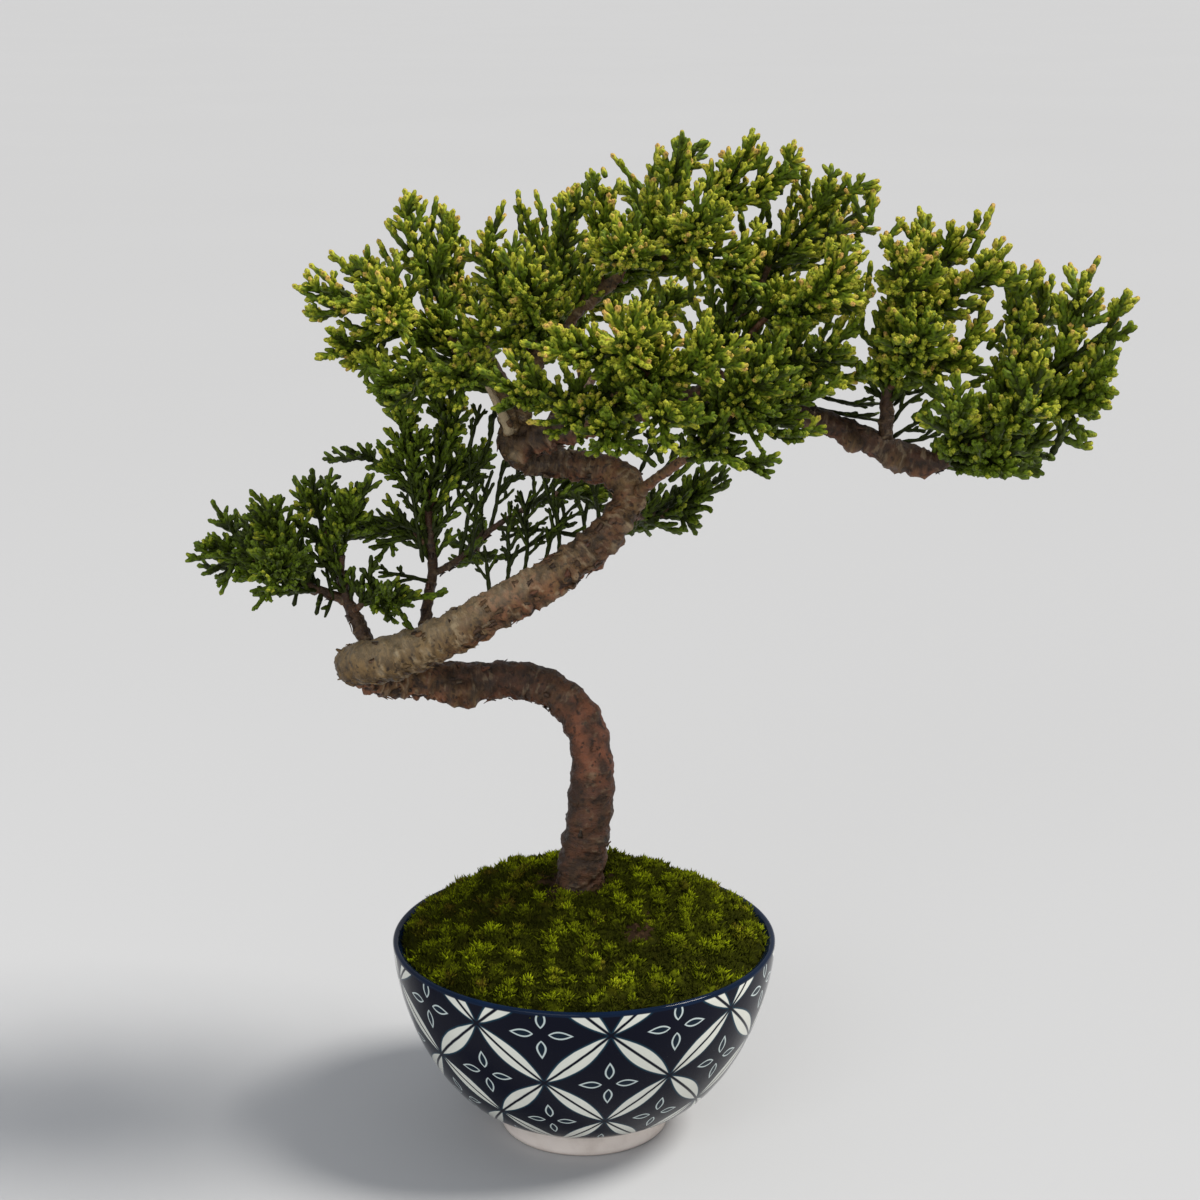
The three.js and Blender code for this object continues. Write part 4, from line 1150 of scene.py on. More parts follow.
def bark_material(settings):
    """Bark from dark hollows over brown and red to weathered tan, and bare dead wood, with painted
    highlights on the raised plates and on the tops, and painted shade on the left side (-X) of the thick
    limbs.
    """
    material, tree, shader = new_material("bark")
    straight = read(tree, "straight", "Vector")
    m = sums(tree)
    plates = mottle(tree, 0.22, 2.2, 0.36, 0.64, straight)
    across = node(tree, "ShaderNodeMapping", {"Vector": straight, "Scale": (0.45, 0.45, 1.1)}).outputs[0]
    fibres = mottle(tree, 0.8, 3.0, 0.36, 0.68, across)
    flecks = mottle(tree, 620.0, 1800.0, 0.56, 0.66)
    tan, red, pale = (read(tree, name, "Fac") for name in ("tan", "red", "pale"))
    brown = blend(tree, fibres["Mask"], settings.dark_bark_and_shade, settings.brown_bark)
    fresh = m("MULTIPLY", ramp(tree, red, 0.1, 0.9), m("ADD", 0.12, m("MULTIPLY", plates["Mask"], 0.75)))
    reddened = blend(tree, fresh, brown, settings.red_bark)
    aged = m("MULTIPLY", ramp(tree, tan, 0.05, 0.95), m("ADD", 0.35, m("MULTIPLY", fibres["Mask"], 0.6)))
    weathered = blend(tree, aged, reddened, settings.tan_bark)
    worn = read(tree, "worn", "Fac")
    # Low worn values turn to the dark bark: the bark's real hollows, and the painted shade on the left
    # side (-X) of the thick limbs.
    hollow_and_shade = m("MULTIPLY", ramp(tree, worn, 0.0, 0.5, 1, 0), 0.88)
    dark = m("MAXIMUM", m("MULTIPLY", flecks["Mask"], 0.8), hollow_and_shade)
    flecked_shaded_and_lit = blend(tree, dark, weathered, settings.dark_bark_and_shade)
    # Painted highlight: the raised plates turn paler, towards the dead wood's colour, most where the bark
    # is weathered.
    painted_highlight = m("MULTIPLY", fibres["Mask"], ramp(tree, tan, 0.1, 0.9, 0.22, 0.55))
    ridge_highlight = m("MULTIPLY", ramp(tree, worn, 0.7, 1.0), painted_highlight)
    flecked_shaded_and_lit = blend(tree, ridge_highlight, flecked_shaded_and_lit, settings.dead_wood_and_highlight)
    # Bare wood of knots and stubs, and the painted highlight on the tops, turn to the dead wood's colour.
    bare = m("MULTIPLY", pale, m("ADD", 0.55, m("MULTIPLY", fibres["Grain"], 0.6)))
    roughness = m("ADD", 0.42, m("MULTIPLY", fibres["Mask"], 0.3))
    paint(tree, shader, blend(tree, bare, flecked_shaded_and_lit, settings.dead_wood_and_highlight), roughness, 0.3)
    relief = m("ADD", fibres["Grain"], m("MULTIPLY", fibres["Mask"], 0.5))
    set_bump(tree, shader, relief, 0.6, 0.0007)
    return material


def plan_spray(points, number, tips):
    """Root, middle and base of a spray's stalk, and the way on from it, as in the solids."""
    curve = Curve(points)
    root = curve.at(number)
    tips = np.array(tips, float)
    aim = tips.mean(0)
    reach = np.linalg.norm(aim - root)
    long = min(LONGEST_SPRAY, reach * SPRAY_SHARE, reach - curve.radius_at(number) - STALK_SHOWS)
    base = root + (aim - root) * (1 - long / reach)
    middle = (root + base) / 2 - (0, 0, STALK_SAG * reach)
    return root, middle, base, unit(base - middle)


def make_wood(settings):
    rng = np.random.default_rng(SEED + 1)
    surface = Surface("tan", "red", "pale", "worn", "straight")
    for points, bark, flakes in zip(TRUNK, TRUNK_BARK, TRUNK_FLAKES):
        nose = 0.45 * points[0][3]
        made = add_limb(surface, points, settings, bark, True, nose, nose, 0.8)
        add_flakes(surface, rng, *made, flakes, bark)
    for name, points, sprays in LIMBS:
        thick = points[0][3] > 3.5
        bark = LIMB_BARK.get(name, COMMON_BARK)
        made = add_limb(surface, points, settings, bark, thick, 2.0, 0.0, 0.9 if thick else 1.1)
        add_flakes(surface, rng, *made, LIMB_FLAKES.get(name, FEW_FLAKES), bark)
        for number, tips in sprays:
            root, middle, base, onward = plan_spray(points, number, tips)
            end = (*(base + onward), STALK_TAPER * STALK_RADIUS)
            stalk = [(*root, STALK_ROOT_RADIUS), (*middle, STALK_RADIUS), end]
            add_limb(surface, stalk, settings, STALK_BARK, False, 0.5, 0.0, 1.3)
    piece = surface.build("trunk_and_limbs", bark_material(settings))
    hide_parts("wood")


# The foliage


# The sides of a cord, and the length of its blunt tip in millimetres.
CORD_SIDES = 4
BLUNT = 0.8

# The faces of a cord, kept by its number of rings.
CORD_FACES = {}

# How far the finer shoots stay inside the tips of the solids, in millimetres. From the
# limit on, the stems end early too, after so many of their points.
PULLED_IN = 2.0
PULLED_LIMIT = 6.5
SHORT_STEM = 10

# The longest side shoots of a sprig that stands in a solid shoot's place, in millimetres.
LONGEST_SIDE = 4.8

# New shoots grow only where no tip is nearer than the gap, and within reach of the solids'
# own tips, in millimetres.
TIP_GAP = 5.7
TIP_REACH = 19

# The widest side, in radians, on which a new shoot may have no tips round it, as seen
# from the front.
WIDEST_SIDE = 2.3

# The same as PULLED_IN, for sprays whose solids pass the crown's outline.
PULLED_FURTHER = {
    "spray_top_limb_3": 11.0,
    "spray_top_limb_4": 9.0,
    "spray_right_riser_4": 6.0,
    "spray_right_limb_5": 8.5,
    "spray_right_limb_7": 8.0,
    "spray_right_limb_6": 4.0,
    "spray_right_limb_2": 5.0,
    "spray_right_limb_3": 8.0,
    "spray_upper_left_limb_1": 6.4,
    "spray_middle_left_limb_3": 5.0,
    "spray_middle_riser_4": 3.5,
    "spray_upper_left_limb_5": 4.0,
    "spray_back_right_limb_1": 6.0,
    "spray_back_right_limb_2": 4.0,
    "spray_elbow_limb_1": 6.4,
    "spray_elbow_limb_2": 4.5,
    "spray_lower_left_fork_4": 4.0,
}

# Shoots that lead the crown's outline or fill a gap in it, each from its root to its tip,
# by the spray that they belong to.
LEADERS = {
    "spray_top_limb_1": [
        ((-18, 6, 282), (-19, 6, 295)), ((-11, 6, 284), (-14, 6, 295)), ((-7, 6, 281), (-9, 6, 291)),
    ],
    "spray_top_limb_3": [((21.3, 16, 290.8), (8.2, 16, 304.5))],
    "spray_top_limb_4": [((29.9, 0, 295.2), (30.9, 0, 309.2))],
    "spray_top_limb_6": [
        ((53, 6, 295), (51, 6, 308)), ((59, 8, 297), (64, 8, 307)), ((55, 10, 283), (54, 10, 293)),
        ((61, 10, 283), (64, 10, 293)), ((58, 8, 293), (57, 8, 303)), ((60, 10, 287), (63, 10, 299)),
    ],
    "spray_middle_riser_4": [
        ((24, 10, 261), (21, 10, 271)), ((32, 10, 261), (32, 10, 271)), ((38, 12, 263), (39, 12, 272)),
        ((36, 12, 264), (30, 12, 275)),
    ],
    "spray_middle_riser_1": [
        ((35, 8, 248), (28, 8, 260)), ((33, 10, 246), (25, 10, 255)), ((37, 8, 251), (33, 8, 263)),
        ((70, 6, 249), (74, 6, 259)),
    ],
    "spray_middle_riser_3": [((48, 12, 279), (46, 12, 291)), ((51, 12, 280), (54, 12, 291))],
    "spray_right_riser_2": [((86, -4, 279), (93, -4, 288))],
    "spray_right_riser_3": [
        ((83, 10, 252), (83, 10, 262)), ((84, 8, 262), (85, 8, 274)), ((86, 10, 248), (89, 10, 257)),
        ((87, 12, 248), (80, 12, 256)), ((73, 10, 240), (82, 10, 235)), ((72, 12, 235), (80, 12, 239)),
    ],
    "spray_right_limb_2": [((99, 10, 226), (107, 10, 233)), ((102, 10, 236), (109, 10, 231))],
    "spray_right_limb_6": [((143, 0, 222), (152, 0, 219)), ((144, 0, 226), (153, 0, 223))],
    "spray_back_right_limb_2": [
        ((22, 12, 211), (14, 12, 220)), ((24, 12, 212), (20, 12, 223)), ((18, 14, 222), (9, 14, 219)),
        ((26, 14, 206), (34, 14, 213)), ((24, 14, 208), (29, 14, 216)),
    ],
    "spray_top_limb_8": [((81.2, 0, 286), (76.1, 0, 300.4)), ((83.3, -2, 285.3), (84.1, -2, 296))],
    "spray_right_riser_4": [((113, 0, 275.6), (119.3, 0, 291.5)), ((115, 0, 272), (123, 0, 282))],
    "spray_right_limb_5": [
        ((125, 0, 259), (129, 0, 274)), ((116, 2, 252), (118, 2, 263)), ((120, 4, 248), (124, 4, 257)),
        ((113, 4, 259), (121, 4, 265)), ((113, 4, 237), (121, 4, 240)),
    ],
    "spray_right_limb_7": [
        ((142.9, 0, 260.4), (150.9, 0, 276.4)),
        ((146.3, -6, 256.8), (161.9, -6, 265)),
        ((147.3, -4, 245.6), (156.3, -4, 259.2)),
    ],
    "spray_upper_left_limb_2": [
        ((-49.5, 8, 282.2), (-52.4, 8, 295.1)),
        ((-44.8, 5, 282.6), (-42.6, 5, 293.3)),
        ((-51, 4, 277), (-58, 4, 286)),
    ],
    "spray_upper_left_limb_3": [
        ((-50, -8, 252), (-58, -8, 246)), ((-45, -6, 250), (-51, -6, 243)),
        ((-62, -6, 255), (-72, -6, 258)),
    ],
    "spray_upper_left_limb_4": [
        ((-70, 0, 266), (-80, 0, 274)), ((-55, 2, 271), (-60, 2, 281)), ((-58, 0, 268), (-64, 0, 278)),
        ((-65, 0, 269), (-74, 0, 278)),
    ],
    "spray_lower_left_limb_1": [((-50, -10, 164), (-57, -10, 175))],
    "spray_upper_left_limb_5": [
        ((-71.4, -12, 263.5), (-83.6, -12, 269.5)),
        ((-60.3, -10, 253), (-73.2, -10, 249.5)),
        ((-60.7, -14, 256), (-73.5, -14, 252.5)),
    ],
}

# How often a new shoot is tried at each point of a stem.
TRIES = 9

# Thin dark twigs inside and under the crown, by the spray that they belong to.
TWIGS = {
    "spray_middle_left_limb_1": [
        [(-48.7, 4, 183), (-50.4, 5, 194), (-51.6, 7, 203), (-53.4, 9, 211)],
        [(-47, 8, 186), (-42, 10, 195), (-37, 12, 202), (-33, 15, 209), (-30, 18, 216)],
        [(-48, 7, 192), (-54, 3, 194.6), (-58, 0, 197), (-61, -3, 200)],
        [(-46, 3, 177), (-55, -2, 180.6), (-61.5, -6, 182.5)],
    ],
    "spray_middle_left_fork_1": [
        [(-38, 11, 183), (-36, 12, 191), (-35, 15, 198), (-32, 18, 206)],
        [(-31, 15, 188), (-31.6, 16, 193), (-31, 18, 199), (-28, 22, 208)],
        [(-29, 16, 190), (-27, 20, 197), (-26, 24, 204), (-23, 28, 212)],
        [(-19, 21, 195), (-14, 26, 200), (-10, 28, 207)],
    ],
    "spray_middle_left_fork_2": [
        [(-28, -8, 175), (-29, -2, 183), (-30, 2, 189)],
        [(-23, -8, 177), (-22.5, 2, 184), (-23, 8, 192), (-22, 14, 199)],
        [(-18, -7, 180), (-17, 4, 188), (-18, 10, 196), (-16, 16, 203)],
        [(-12, -6, 183), (-9, 6, 192), (-5, 10, 197), (-1, 14, 200)],
        [(-7, -4, 186), (-8, 8, 195), (-11, 14, 202), (-12, 20, 209)],
        [(-24, 8, 182.7), (-16.3, 8, 187.4), (-7.2, 8, 192.8), (-1.7, 8, 194.6)],
        [(-25.6, 12, 188), (-16.4, 12, 191.2), (-5.7, 12, 190.2), (1.3, 12, 189.6)],
        [(-34.6, 6, 183.2), (-33.2, 6, 192.6), (-32.5, 6, 200.4), (-33, 6, 208.1)],
        [(-17.4, 14, 186), (-17.7, 14, 195.4), (-19.4, 14, 203.3)],
        [(0.4, 16, 187.1), (-0.5, 16, 196.5), (-4.2, 16, 202.8)],
        [(5, 18, 191.4), (3.8, 18, 199.2), (1.9, 18, 205.5)],
    ],
    "spray_middle_left_limb_2": [
        [(-35, 14, 215), (-33, 14, 223), (-31, 14, 230)],
        [(-30, 16, 214), (-28, 16, 221), (-27, 16, 229)],
        [(-25, 16, 202), (-21, 16, 207), (-15, 16, 210)],
    ],
    "spray_back_right_limb_2": [
        [(17, 12, 209), (20, 12, 216), (22, 12, 223)],
        [(22, 14, 207), (28, 14, 214), (31, 14, 219)],
        [(13, 12, 219), (16, 12, 224), (18, 12, 228)],
        [(4, 14, 217), (7, 14, 222), (9, 14, 226)],
    ],
    "spray_right_riser_3": [
        [(69, 12, 229), (79, 12, 227), (90, 12, 225)],
        [(72, 14, 232), (81, 14, 230), (90, 14, 230)],
        [(93, 12, 224), (97, 12, 230), (103, 12, 234)],
        [(93, 14, 219), (99, 14, 223), (106, 14, 226)],
        [(94, 16, 229), (100, 16, 235), (107, 16, 238)],
        [(96, 10, 219), (103, 10, 220), (109, 10, 223)],
    ],
    "spray_lower_left_fork_1": [
        [(-72, -1, 170), (-74, 2, 176), (-76, 6, 184)],
        [(-75.5, -2, 173), (-76.5, -2, 177), (-78, 2, 182)],
        [(-80, -2, 176), (-80, -3, 180)],
        [(-83, -3, 178), (-84, -4, 183)],
        [(-89, -4.5, 181), (-91, -8, 175)],
        [(-85.5, -3.5, 179), (-87, -7, 172)],
        [(-79, -2, 175.5), (-80.5, -6, 169)],
        [(-76, -1, 173.5), (-78, -5, 168)],
    ],
}


def shoots_of(title):
    """Root and tip, in millimetres round the bowl's axis, of each shoot of a packed spray.
    A tip has three neighbours, and they lead to three more round the shoot's root."""
    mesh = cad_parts[title].data
    numbers, places, corner = {}, [], []
    for vertex in mesh.vertices:
        key = tuple(round(value * 1e5) for value in vertex.co)
        if key not in numbers:
            numbers[key] = len(places)
            places.append(np.array(vertex.co) / MM - (AXIS_X, 0, 0))
        corner.append(numbers[key])
    near = [set() for _ in places]
    for polygon in mesh.polygons:
        ring = [corner[i] for i in polygon.vertices]
        for i, point in enumerate(ring):
            near[point].update(ring[:i] + ring[i + 1:])
    found = []
    for tip, ring in enumerate(near):
        root = set().union(*(near[point] for point in ring)) - ring - {tip}
        if len(ring) == 3 and len(root) == 3:
            found.append((sum(places[i] for i in root) / 3, places[tip]))
    return found


def stems_of(points, number, tips):
    """The centre lines of a spray's stems, as in the solids."""
    _, _, base, onward = plan_spray(points, number, tips)
    fork = base + onward * STEM_FORK
    lines = []
    for i, tip in enumerate(np.array(tips, float)):
        along = unit(tip - fork)
        end = tip - along * TIP_GROWTH
        line = arc(fork, end, STEM_SAG * np.linalg.norm(end - fork), 14)
        lines.append(np.vstack([base, line]) if i == 0 else line)
    return lines


def cord_faces(rings):
    """Triangles of a closed cord, whose points are its rings and then the tip's pole."""
    if rings not in CORD_FACES:
        CORD_FACES[rings] = np.vstack([
            grid_faces(rings, CORD_SIDES),
            fan_faces(rings * CORD_SIDES, (rings - 1) * CORD_SIDES, CORD_SIDES, True),
            [(0, 3, 2), (0, 2, 1)],
        ])
    return CORD_FACES[rings]


class Sprigs:
    """Grows the knobbly shoots of one spray."""

    def __init__(self, seed, settings):
        self.rng = np.random.default_rng(seed)
        self.radius = settings.shoot_radius / MM
        self.scale = settings.scale_length / MM
        self.swell = settings.scale_swell
        self.surface = Surface("ripe", "tone", "cord")

    def cord(self, path, radius, ripe, step=1.0):
        """One shoot along a path of points from its root to its tip, with its scale leaves
        in crossed pairs. ripe is how ripe its colour is at its root and at its tip, and
        step is the number of scales from one ring of points to the next."""
        gone = gone_along(path)
        total = gone[-1]
        rings = max(2, round((total - BLUNT) / (self.scale * step)) + 1)
        stops = np.concatenate([np.linspace(0, total - BLUNT, rings), [total - 0.3 * BLUNT]])
        line = np.stack([np.interp(stops, gone, path[:, i]) for i in range(3)], 1)
        part = stops / total
        wide = radius * (0.74 + 0.26 * smooth_step(-0.6, 2.0, stops)) * (1 - 0.26 * part ** 2)
        wide[-1] *= 0.6
        wide[:-1] *= 1 + self.rng.uniform(-0.08, 0.08, rings)
        sides, ups = frames_along(line)
        count = rings + 1
        turn = angles_round(CORD_SIDES)
        pairs = 1 - 2 * ((np.arange(count)[:, None] + np.arange(CORD_SIDES)) % 2)
        ring = np.cos(turn)[:, None] * sides[:, None] + np.sin(turn)[:, None] * ups[:, None]
        reach = wide[:, None] * (1 + self.swell * pairs)
        points = np.vstack([(line[:, None] + reach[..., None] * ring).reshape(-1, 3), path[-1]])
        late = smooth_step(total - 3.2, total - 0.3, stops)
        ripeness = ripe[0] + (ripe[1] - ripe[0]) * (0.45 * part + 0.55 * late)
        cord = np.stack([
            np.append(np.tile(np.cos(turn), count), 0),
            np.append(np.tile(np.sin(turn), count), 0),
            np.append(np.repeat(np.arange(count), CORD_SIDES), count) * step,
        ], 1)
        ripeness = np.append(np.repeat(ripeness, CORD_SIDES), ripe[1])
        self.surface.add(points, cord_faces(count), ripe=ripeness, tone=self.rng.random(), cord=cord)

    def fingers(self, path, flat, ripe, radius, first, pace, longest, order):
        """Side shoots that leave a shoot left and right, nearly in one plane. flat is a
        vector square to that plane."""
        rng = self.rng
        total = np.linalg.norm(path[-1] - path[0])
        way = unit(path[-1] - path[0])
        aside = unit(np.cross(flat, way))
        flat = np.cross(way, aside)
        at = total * first + rng.uniform(0, 1.2)
        hand = rng.choice([-1, 1])
        while at < total - (3.4 if order == 0 else 1.8):
            long = min(0.55 * (total - at) + rng.uniform(1.3, 2.9), longest)
            lean, off = rng.uniform(0.48, 0.75), rng.normal(0, 0.4)
            sideways = aside * hand * math.cos(off) + flat * math.sin(off)
            out = way * math.cos(lean) + sideways * math.sin(lean)
            out[2] *= 1 if out[2] > 0 else 0.45
            part = at / total * (len(path) - 1)
            low = min(int(part), len(path) - 2)
            start = path[low] + (path[low + 1] - path[low]) * (part - low)
            side = arc(start, start + unit(out + (0, 0, 0.1)) * long, long * rng.uniform(0.0, 0.1), 4)
            mid = ripe[0] + (ripe[1] - ripe[0]) * at / total
            ends = (0.85 * mid, ripe[1] * rng.uniform(0.72, 1.08))
            self.cord(side, radius * 0.95, ends)
            if order == 0 and long > 4.4:
                self.fingers(side, flat, ends, radius * 0.92, 0.36, 2.3, 2.6, 1)
            at += pace * rng.uniform(0.8, 1.2)
            hand = -hand

    def radius_at(self, place):
        return self.radius * vigour_at(place)

    def sprig(self, root, tip, flat, ripe, radius, longest=6.5, pace=2.5):
        """A shoot with its side shoots."""
        total = np.linalg.norm(tip - root)
        path = arc(root, tip, total * self.rng.uniform(0.02, 0.12))
        self.cord(path, radius, ripe)
        self.fingers(path, flat, ripe, radius, 0.2, pace, longest, 0)

    def twig(self, points):
        """A thin dark twig with sparse shoots."""
        total = np.linalg.norm(np.subtract(points[-1], points[0]))
        path = Curve([(*point, 1) for point in points]).evenly(2.0)[0]
        radius = self.radius * (0.7 if total > 9 else 0.85)
        self.cord(path, radius, (-0.1, 0.0), 1.6)
        if total > 5:
            flat = unit(np.cross(path[-1] - path[0], self.rng.normal(0, 1, 3)))
            self.fingers(path, flat, (0.0, 0.12), radius, 0.3, 3.0, 8.0, 0)


class Crown:
    """Keeps the tips of all shoots, so that new ones grow only into gaps inside it."""

    def __init__(self, edge):
        self.edge = np.array(edge)
        self.tips = np.array(edge)

    def has_room(self, tip):
        """Whether no tip is too near, and the solids' tips lie all round it."""
        if np.linalg.norm(self.tips - tip, axis=1).min() < TIP_GAP:
            return False
        away = (self.edge - tip) * (1, 0.4, 1)
        near = away[np.linalg.norm(away, axis=1) < TIP_REACH]
        turns = np.sort(np.arctan2(near[:, 2], near[:, 0]))
        return len(near) > 3 and np.diff(turns, append=turns[:1] + 2 * math.pi).max() < WIDEST_SIDE

    def keep(self, tip):
        self.tips = np.vstack([self.tips, tip])


def sun_at(place):
    """How much sun a place of the crown has had, from 0 low inside to 1 at the top. The left of the crown
    is given a fifth less, which is painted shade, as the light comes from the right.
    """
    height = smooth_step(215, 275, place[2])
    outside = smooth_step(30, 85, math.hypot(place[0] - 25, 1.5 * place[1]))
    # Painted shade: the left of the crown is turned greener and darker.
    left = smooth_step(-20, -60, place[0])
    top = 0.15 * smooth_step(265, 298, place[2])
    return (0.65 * height + top + 0.3 * outside * smooth_step(208, 230, place[2])) * (1 - 0.2 * left)


def vigour_at(place):
    """How thick the shoots are: thin low on the left, thick out on the right."""
    low_left = (1 - smooth_step(-60, -10, place[0])) * (1 - smooth_step(215, 235, place[2]))
    return 1.0 + 0.26 * smooth_step(60, 140, place[0]) - 0.1 * low_left


def leaf_material(settings):
    """Scale-leaved shoots, from dark green inside to brown tips in the sun, with painted shade in the
    crevices between the scale leaves.
    """
    material, tree, shader = new_material("juniper_leaf")
    patch = mottle(tree, 260.0, 1500.0, 0.3, 0.7)
    ripe, tone = read(tree, "ripe", "Fac"), read(tree, "tone", "Fac")
    cord = node(tree, "ShaderNodeSeparateXYZ", {0: read(tree, "cord", "Vector")}).outputs
    m = sums(tree)
    around = m("COSINE", m("MULTIPLY", m("ARCTAN2", cord["Y"], cord["X"]), 2.0))
    along = m("COSINE", m("MULTIPLY", cord["Z"], math.pi))
    raised = m("ADD", 0.5, m("MULTIPLY", m("MULTIPLY", around, along), 0.5))
    shift = m("MULTIPLY", m("SUBTRACT", m("ADD", tone, patch["Mask"]), 1.0), 0.21)
    stage = m("ADD", ripe, shift)
    inner = blend(tree, ramp(tree, stage, 0.02, 0.42), settings.inner_green_and_shade, settings.leaf_green)
    young = blend(tree, ramp(tree, stage, 0.38, 0.74), inner, settings.young_green)
    brown = blend(tree, ramp(tree, stage, 0.70, 1.0), young, settings.tip_brown)
    # Painted shade: darker between the pairs of scale leaves, in the crevices.
    crevice_shade = m("MULTIPLY", ramp(tree, raised, 0.05, 0.55, 1, 0), 0.55)
    roughness = m("ADD", 0.38, m("MULTIPLY", patch["Grain"], 0.3))
    paint(tree, shader, blend(tree, crevice_shade, brown, settings.inner_green_and_shade), roughness, 0.13)
    set_bump(tree, shader, m("ADD", raised, m("MULTIPLY", patch["Grain"], 0.5)), 0.5, 0.0004)
    return material


def growing_places(points, number, tips, stems):
    """Places on the limb, the stalk and the stems of a spray where new shoots may leave,
    and the way that each runs on."""
    _, middle, base, _ = plan_spray(points, number, tips)
    curve = Curve(points)
    first, last = max(number - 0.6, 0.4), min(number + 0.6, len(points) - 1)
    limb = np.array([curve.at(part) for part in np.linspace(first, last, 7)])
    lines = [limb, np.array([middle, base]), *[stem[2:] for stem in stems]]
    return np.vstack(lines), np.vstack([directions_of(line) for line in lines])


def dress_stems(sprigs, stems, pulled_in):
    """The stems of a spray as cords, each with a sprig at its end."""
    rng = sprigs.rng
    cut_short = pulled_in > PULLED_LIMIT
    for stem in stems:
        ahead = directions_of(stem)[-1]
        radius = sprigs.radius_at(stem[-1])
        end = stem[-1] + ahead * (TIP_GROWTH - pulled_in)
        ripe = (0.3, 0.45 + 0.5 * sun_at(end) + rng.normal(0, 0.06))
        sprigs.cord(stem[:SHORT_STEM] if cut_short else stem, radius * 0.86, (0.02, 0.28), 1.6)
        flat = unit(np.cross(ahead, rng.normal(0, 1, 3)))
        if not cut_short:
            sprigs.sprig(stem[-3], end, flat, ripe, radius, LONGEST_SIDE)


def dress_shoots(sprigs, title, stems, pulled_in):
    """A sprig in the place of each shoot of the solid."""
    rng = sprigs.rng
    line = np.vstack([stem[1:] for stem in stems])
    ways = np.vstack([directions_of(stem)[1:] for stem in stems])
    for root, tip in shoots_of(title):
        nearest = np.argmin(np.linalg.norm(line - root, axis=1))
        long = np.linalg.norm(tip - root)
        aim = tip + (root - tip) * min(pulled_in / long, 0.75)
        aim[2] = max(aim[2], root[2] - 0.15 * long)
        flat = np.cross(ways[nearest], aim - root) + rng.normal(0, 0.4, 3) * np.linalg.norm(aim - root)
        sun = sun_at(tip)
        ripe = (0.1 + 0.1 * sun, 0.45 + 0.45 * sun + rng.normal(0, 0.1))
        sprigs.sprig(line[nearest], aim, unit(flat), ripe, sprigs.radius_at(tip), LONGEST_SIDE)


def fill_gaps(sprigs, places, crown):
    """New sprigs from the places where shoots may leave, where the crown has room."""
    rng = sprigs.rng
    for point, way in zip(*places):
        side = square_to(way)
        for _ in range(TRIES):
            turn, lean = rng.uniform(0, 2 * math.pi), rng.uniform(0.3, 0.95)
            out = turned(turn, side, np.cross(way, side))
            toward = unit(turned(lean, way, out) + (0, 0, 0.15))
            tip = point + toward * rng.uniform(7.0, 18.0)
            if not crown.has_room(tip):
                continue
            crown.keep(tip)
            flat = unit(np.cross(way, toward) + rng.normal(0, 0.4, 3))
            ripe = (0.08, 0.36 + 0.46 * sun_at(tip) + rng.normal(0, 0.1))
            sprigs.sprig(point, tip, flat, ripe, sprigs.radius_at(tip))


def add_chosen(sprigs, title):
    """The leading shoots and the twigs that the tables give to a spray."""
    for root, tip in LEADERS.get(title, ()):
        root, tip = np.array(root, float), np.array(tip, float)
        flat = unit(np.cross(tip - root, sprigs.rng.normal(0, 1, 3)))
        ripe = (0.2, 0.5 + 0.45 * sun_at(tip))
        sprigs.sprig(root, tip, flat, ripe, sprigs.radius_at(tip), 3.4, 2.8)
    for points in TWIGS.get(title, ()):
        sprigs.twig(points)


def make_spray(title, places, stems, settings, material, crown, seed):
    """The finer shoots of one spray, grown on the stems and shoots of its solid, and into
    the gaps beside them."""
    sprigs = Sprigs(seed, settings)
    pulled_in = PULLED_FURTHER.get(title, PULLED_IN)
    dress_stems(sprigs, stems, pulled_in)
    dress_shoots(sprigs, title, stems, pulled_in)
    fill_gaps(sprigs, places, crown)
    add_chosen(sprigs, title)
    piece = sprigs.surface.build(title.replace("spray", "shoots"), material)
    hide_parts(title)


def make_foliage(settings):
    material = leaf_material(settings)
    sprays = {
        f"spray_{name}_{i + 1}": (points, *spray)
        for name, points, reached in LIMBS
        for i, spray in enumerate(reached)
    }
    stems = {title: stems_of(*spray) for title, spray in sprays.items()}
    ends = [stem[-1] for lines in stems.values() for stem in lines]
    crown = Crown(ends + [tip for title in sprays for _, tip in shoots_of(title)])
    for seed, (title, spray) in enumerate(sprays.items(), SEED + 11):
        places = growing_places(*spray, stems[title])
        make_spray(title, places, stems[title], settings, material, crown, seed)


# The stage


# The floor, the camera and the lights, in metres and degrees, and the camera's lens and
# film in millimetres.
STAGE_RADIUS = 40
CAMERA_PLACE = (-0.0165, -0.697, 0.359)
CAMERA_TILT = 75
LENS = 71.43
FILM_WIDTH = 36
SUN_STRENGTH = 3.9
SUN_WIDTH = 20
SUN_FROM = (0.6, -0.02, 0.8)
FILL_STRENGTH = 4.6
FILL_SIZE = 0.8
FILL_FROM = (-0.4, -0.95, 0.62)
FILL_AIM = (0, 0, 0.16)


def add_light(name, kind, strength, tint, **details):
    """A new lamp, which is still to be placed and turned."""
    light = bpy.data.lights.new(name, kind)
    light.energy, light.color = strength, tint
    for detail, value in details.items():
        setattr(light, detail, value)
    lamp = bpy.data.objects.new(name, light)
    bpy.context.scene.collection.objects.link(lamp)
    return lamp


def floor_material(settings):
    """Plain pale floor with the faintest mottling."""
    material, tree, shader = new_material("pale_floor")
    cloud = mottle(tree, 1.5, 220.0, 0.2, 0.8)
    tint = blend(tree, cloud["Mask"], scaled(settings.floor, 0.985), settings.floor)
    paint(tree, shader, tint, 0.8)
    set_bump(tree, shader, cloud["Grain"], 0.02, 0.0005)
    return material


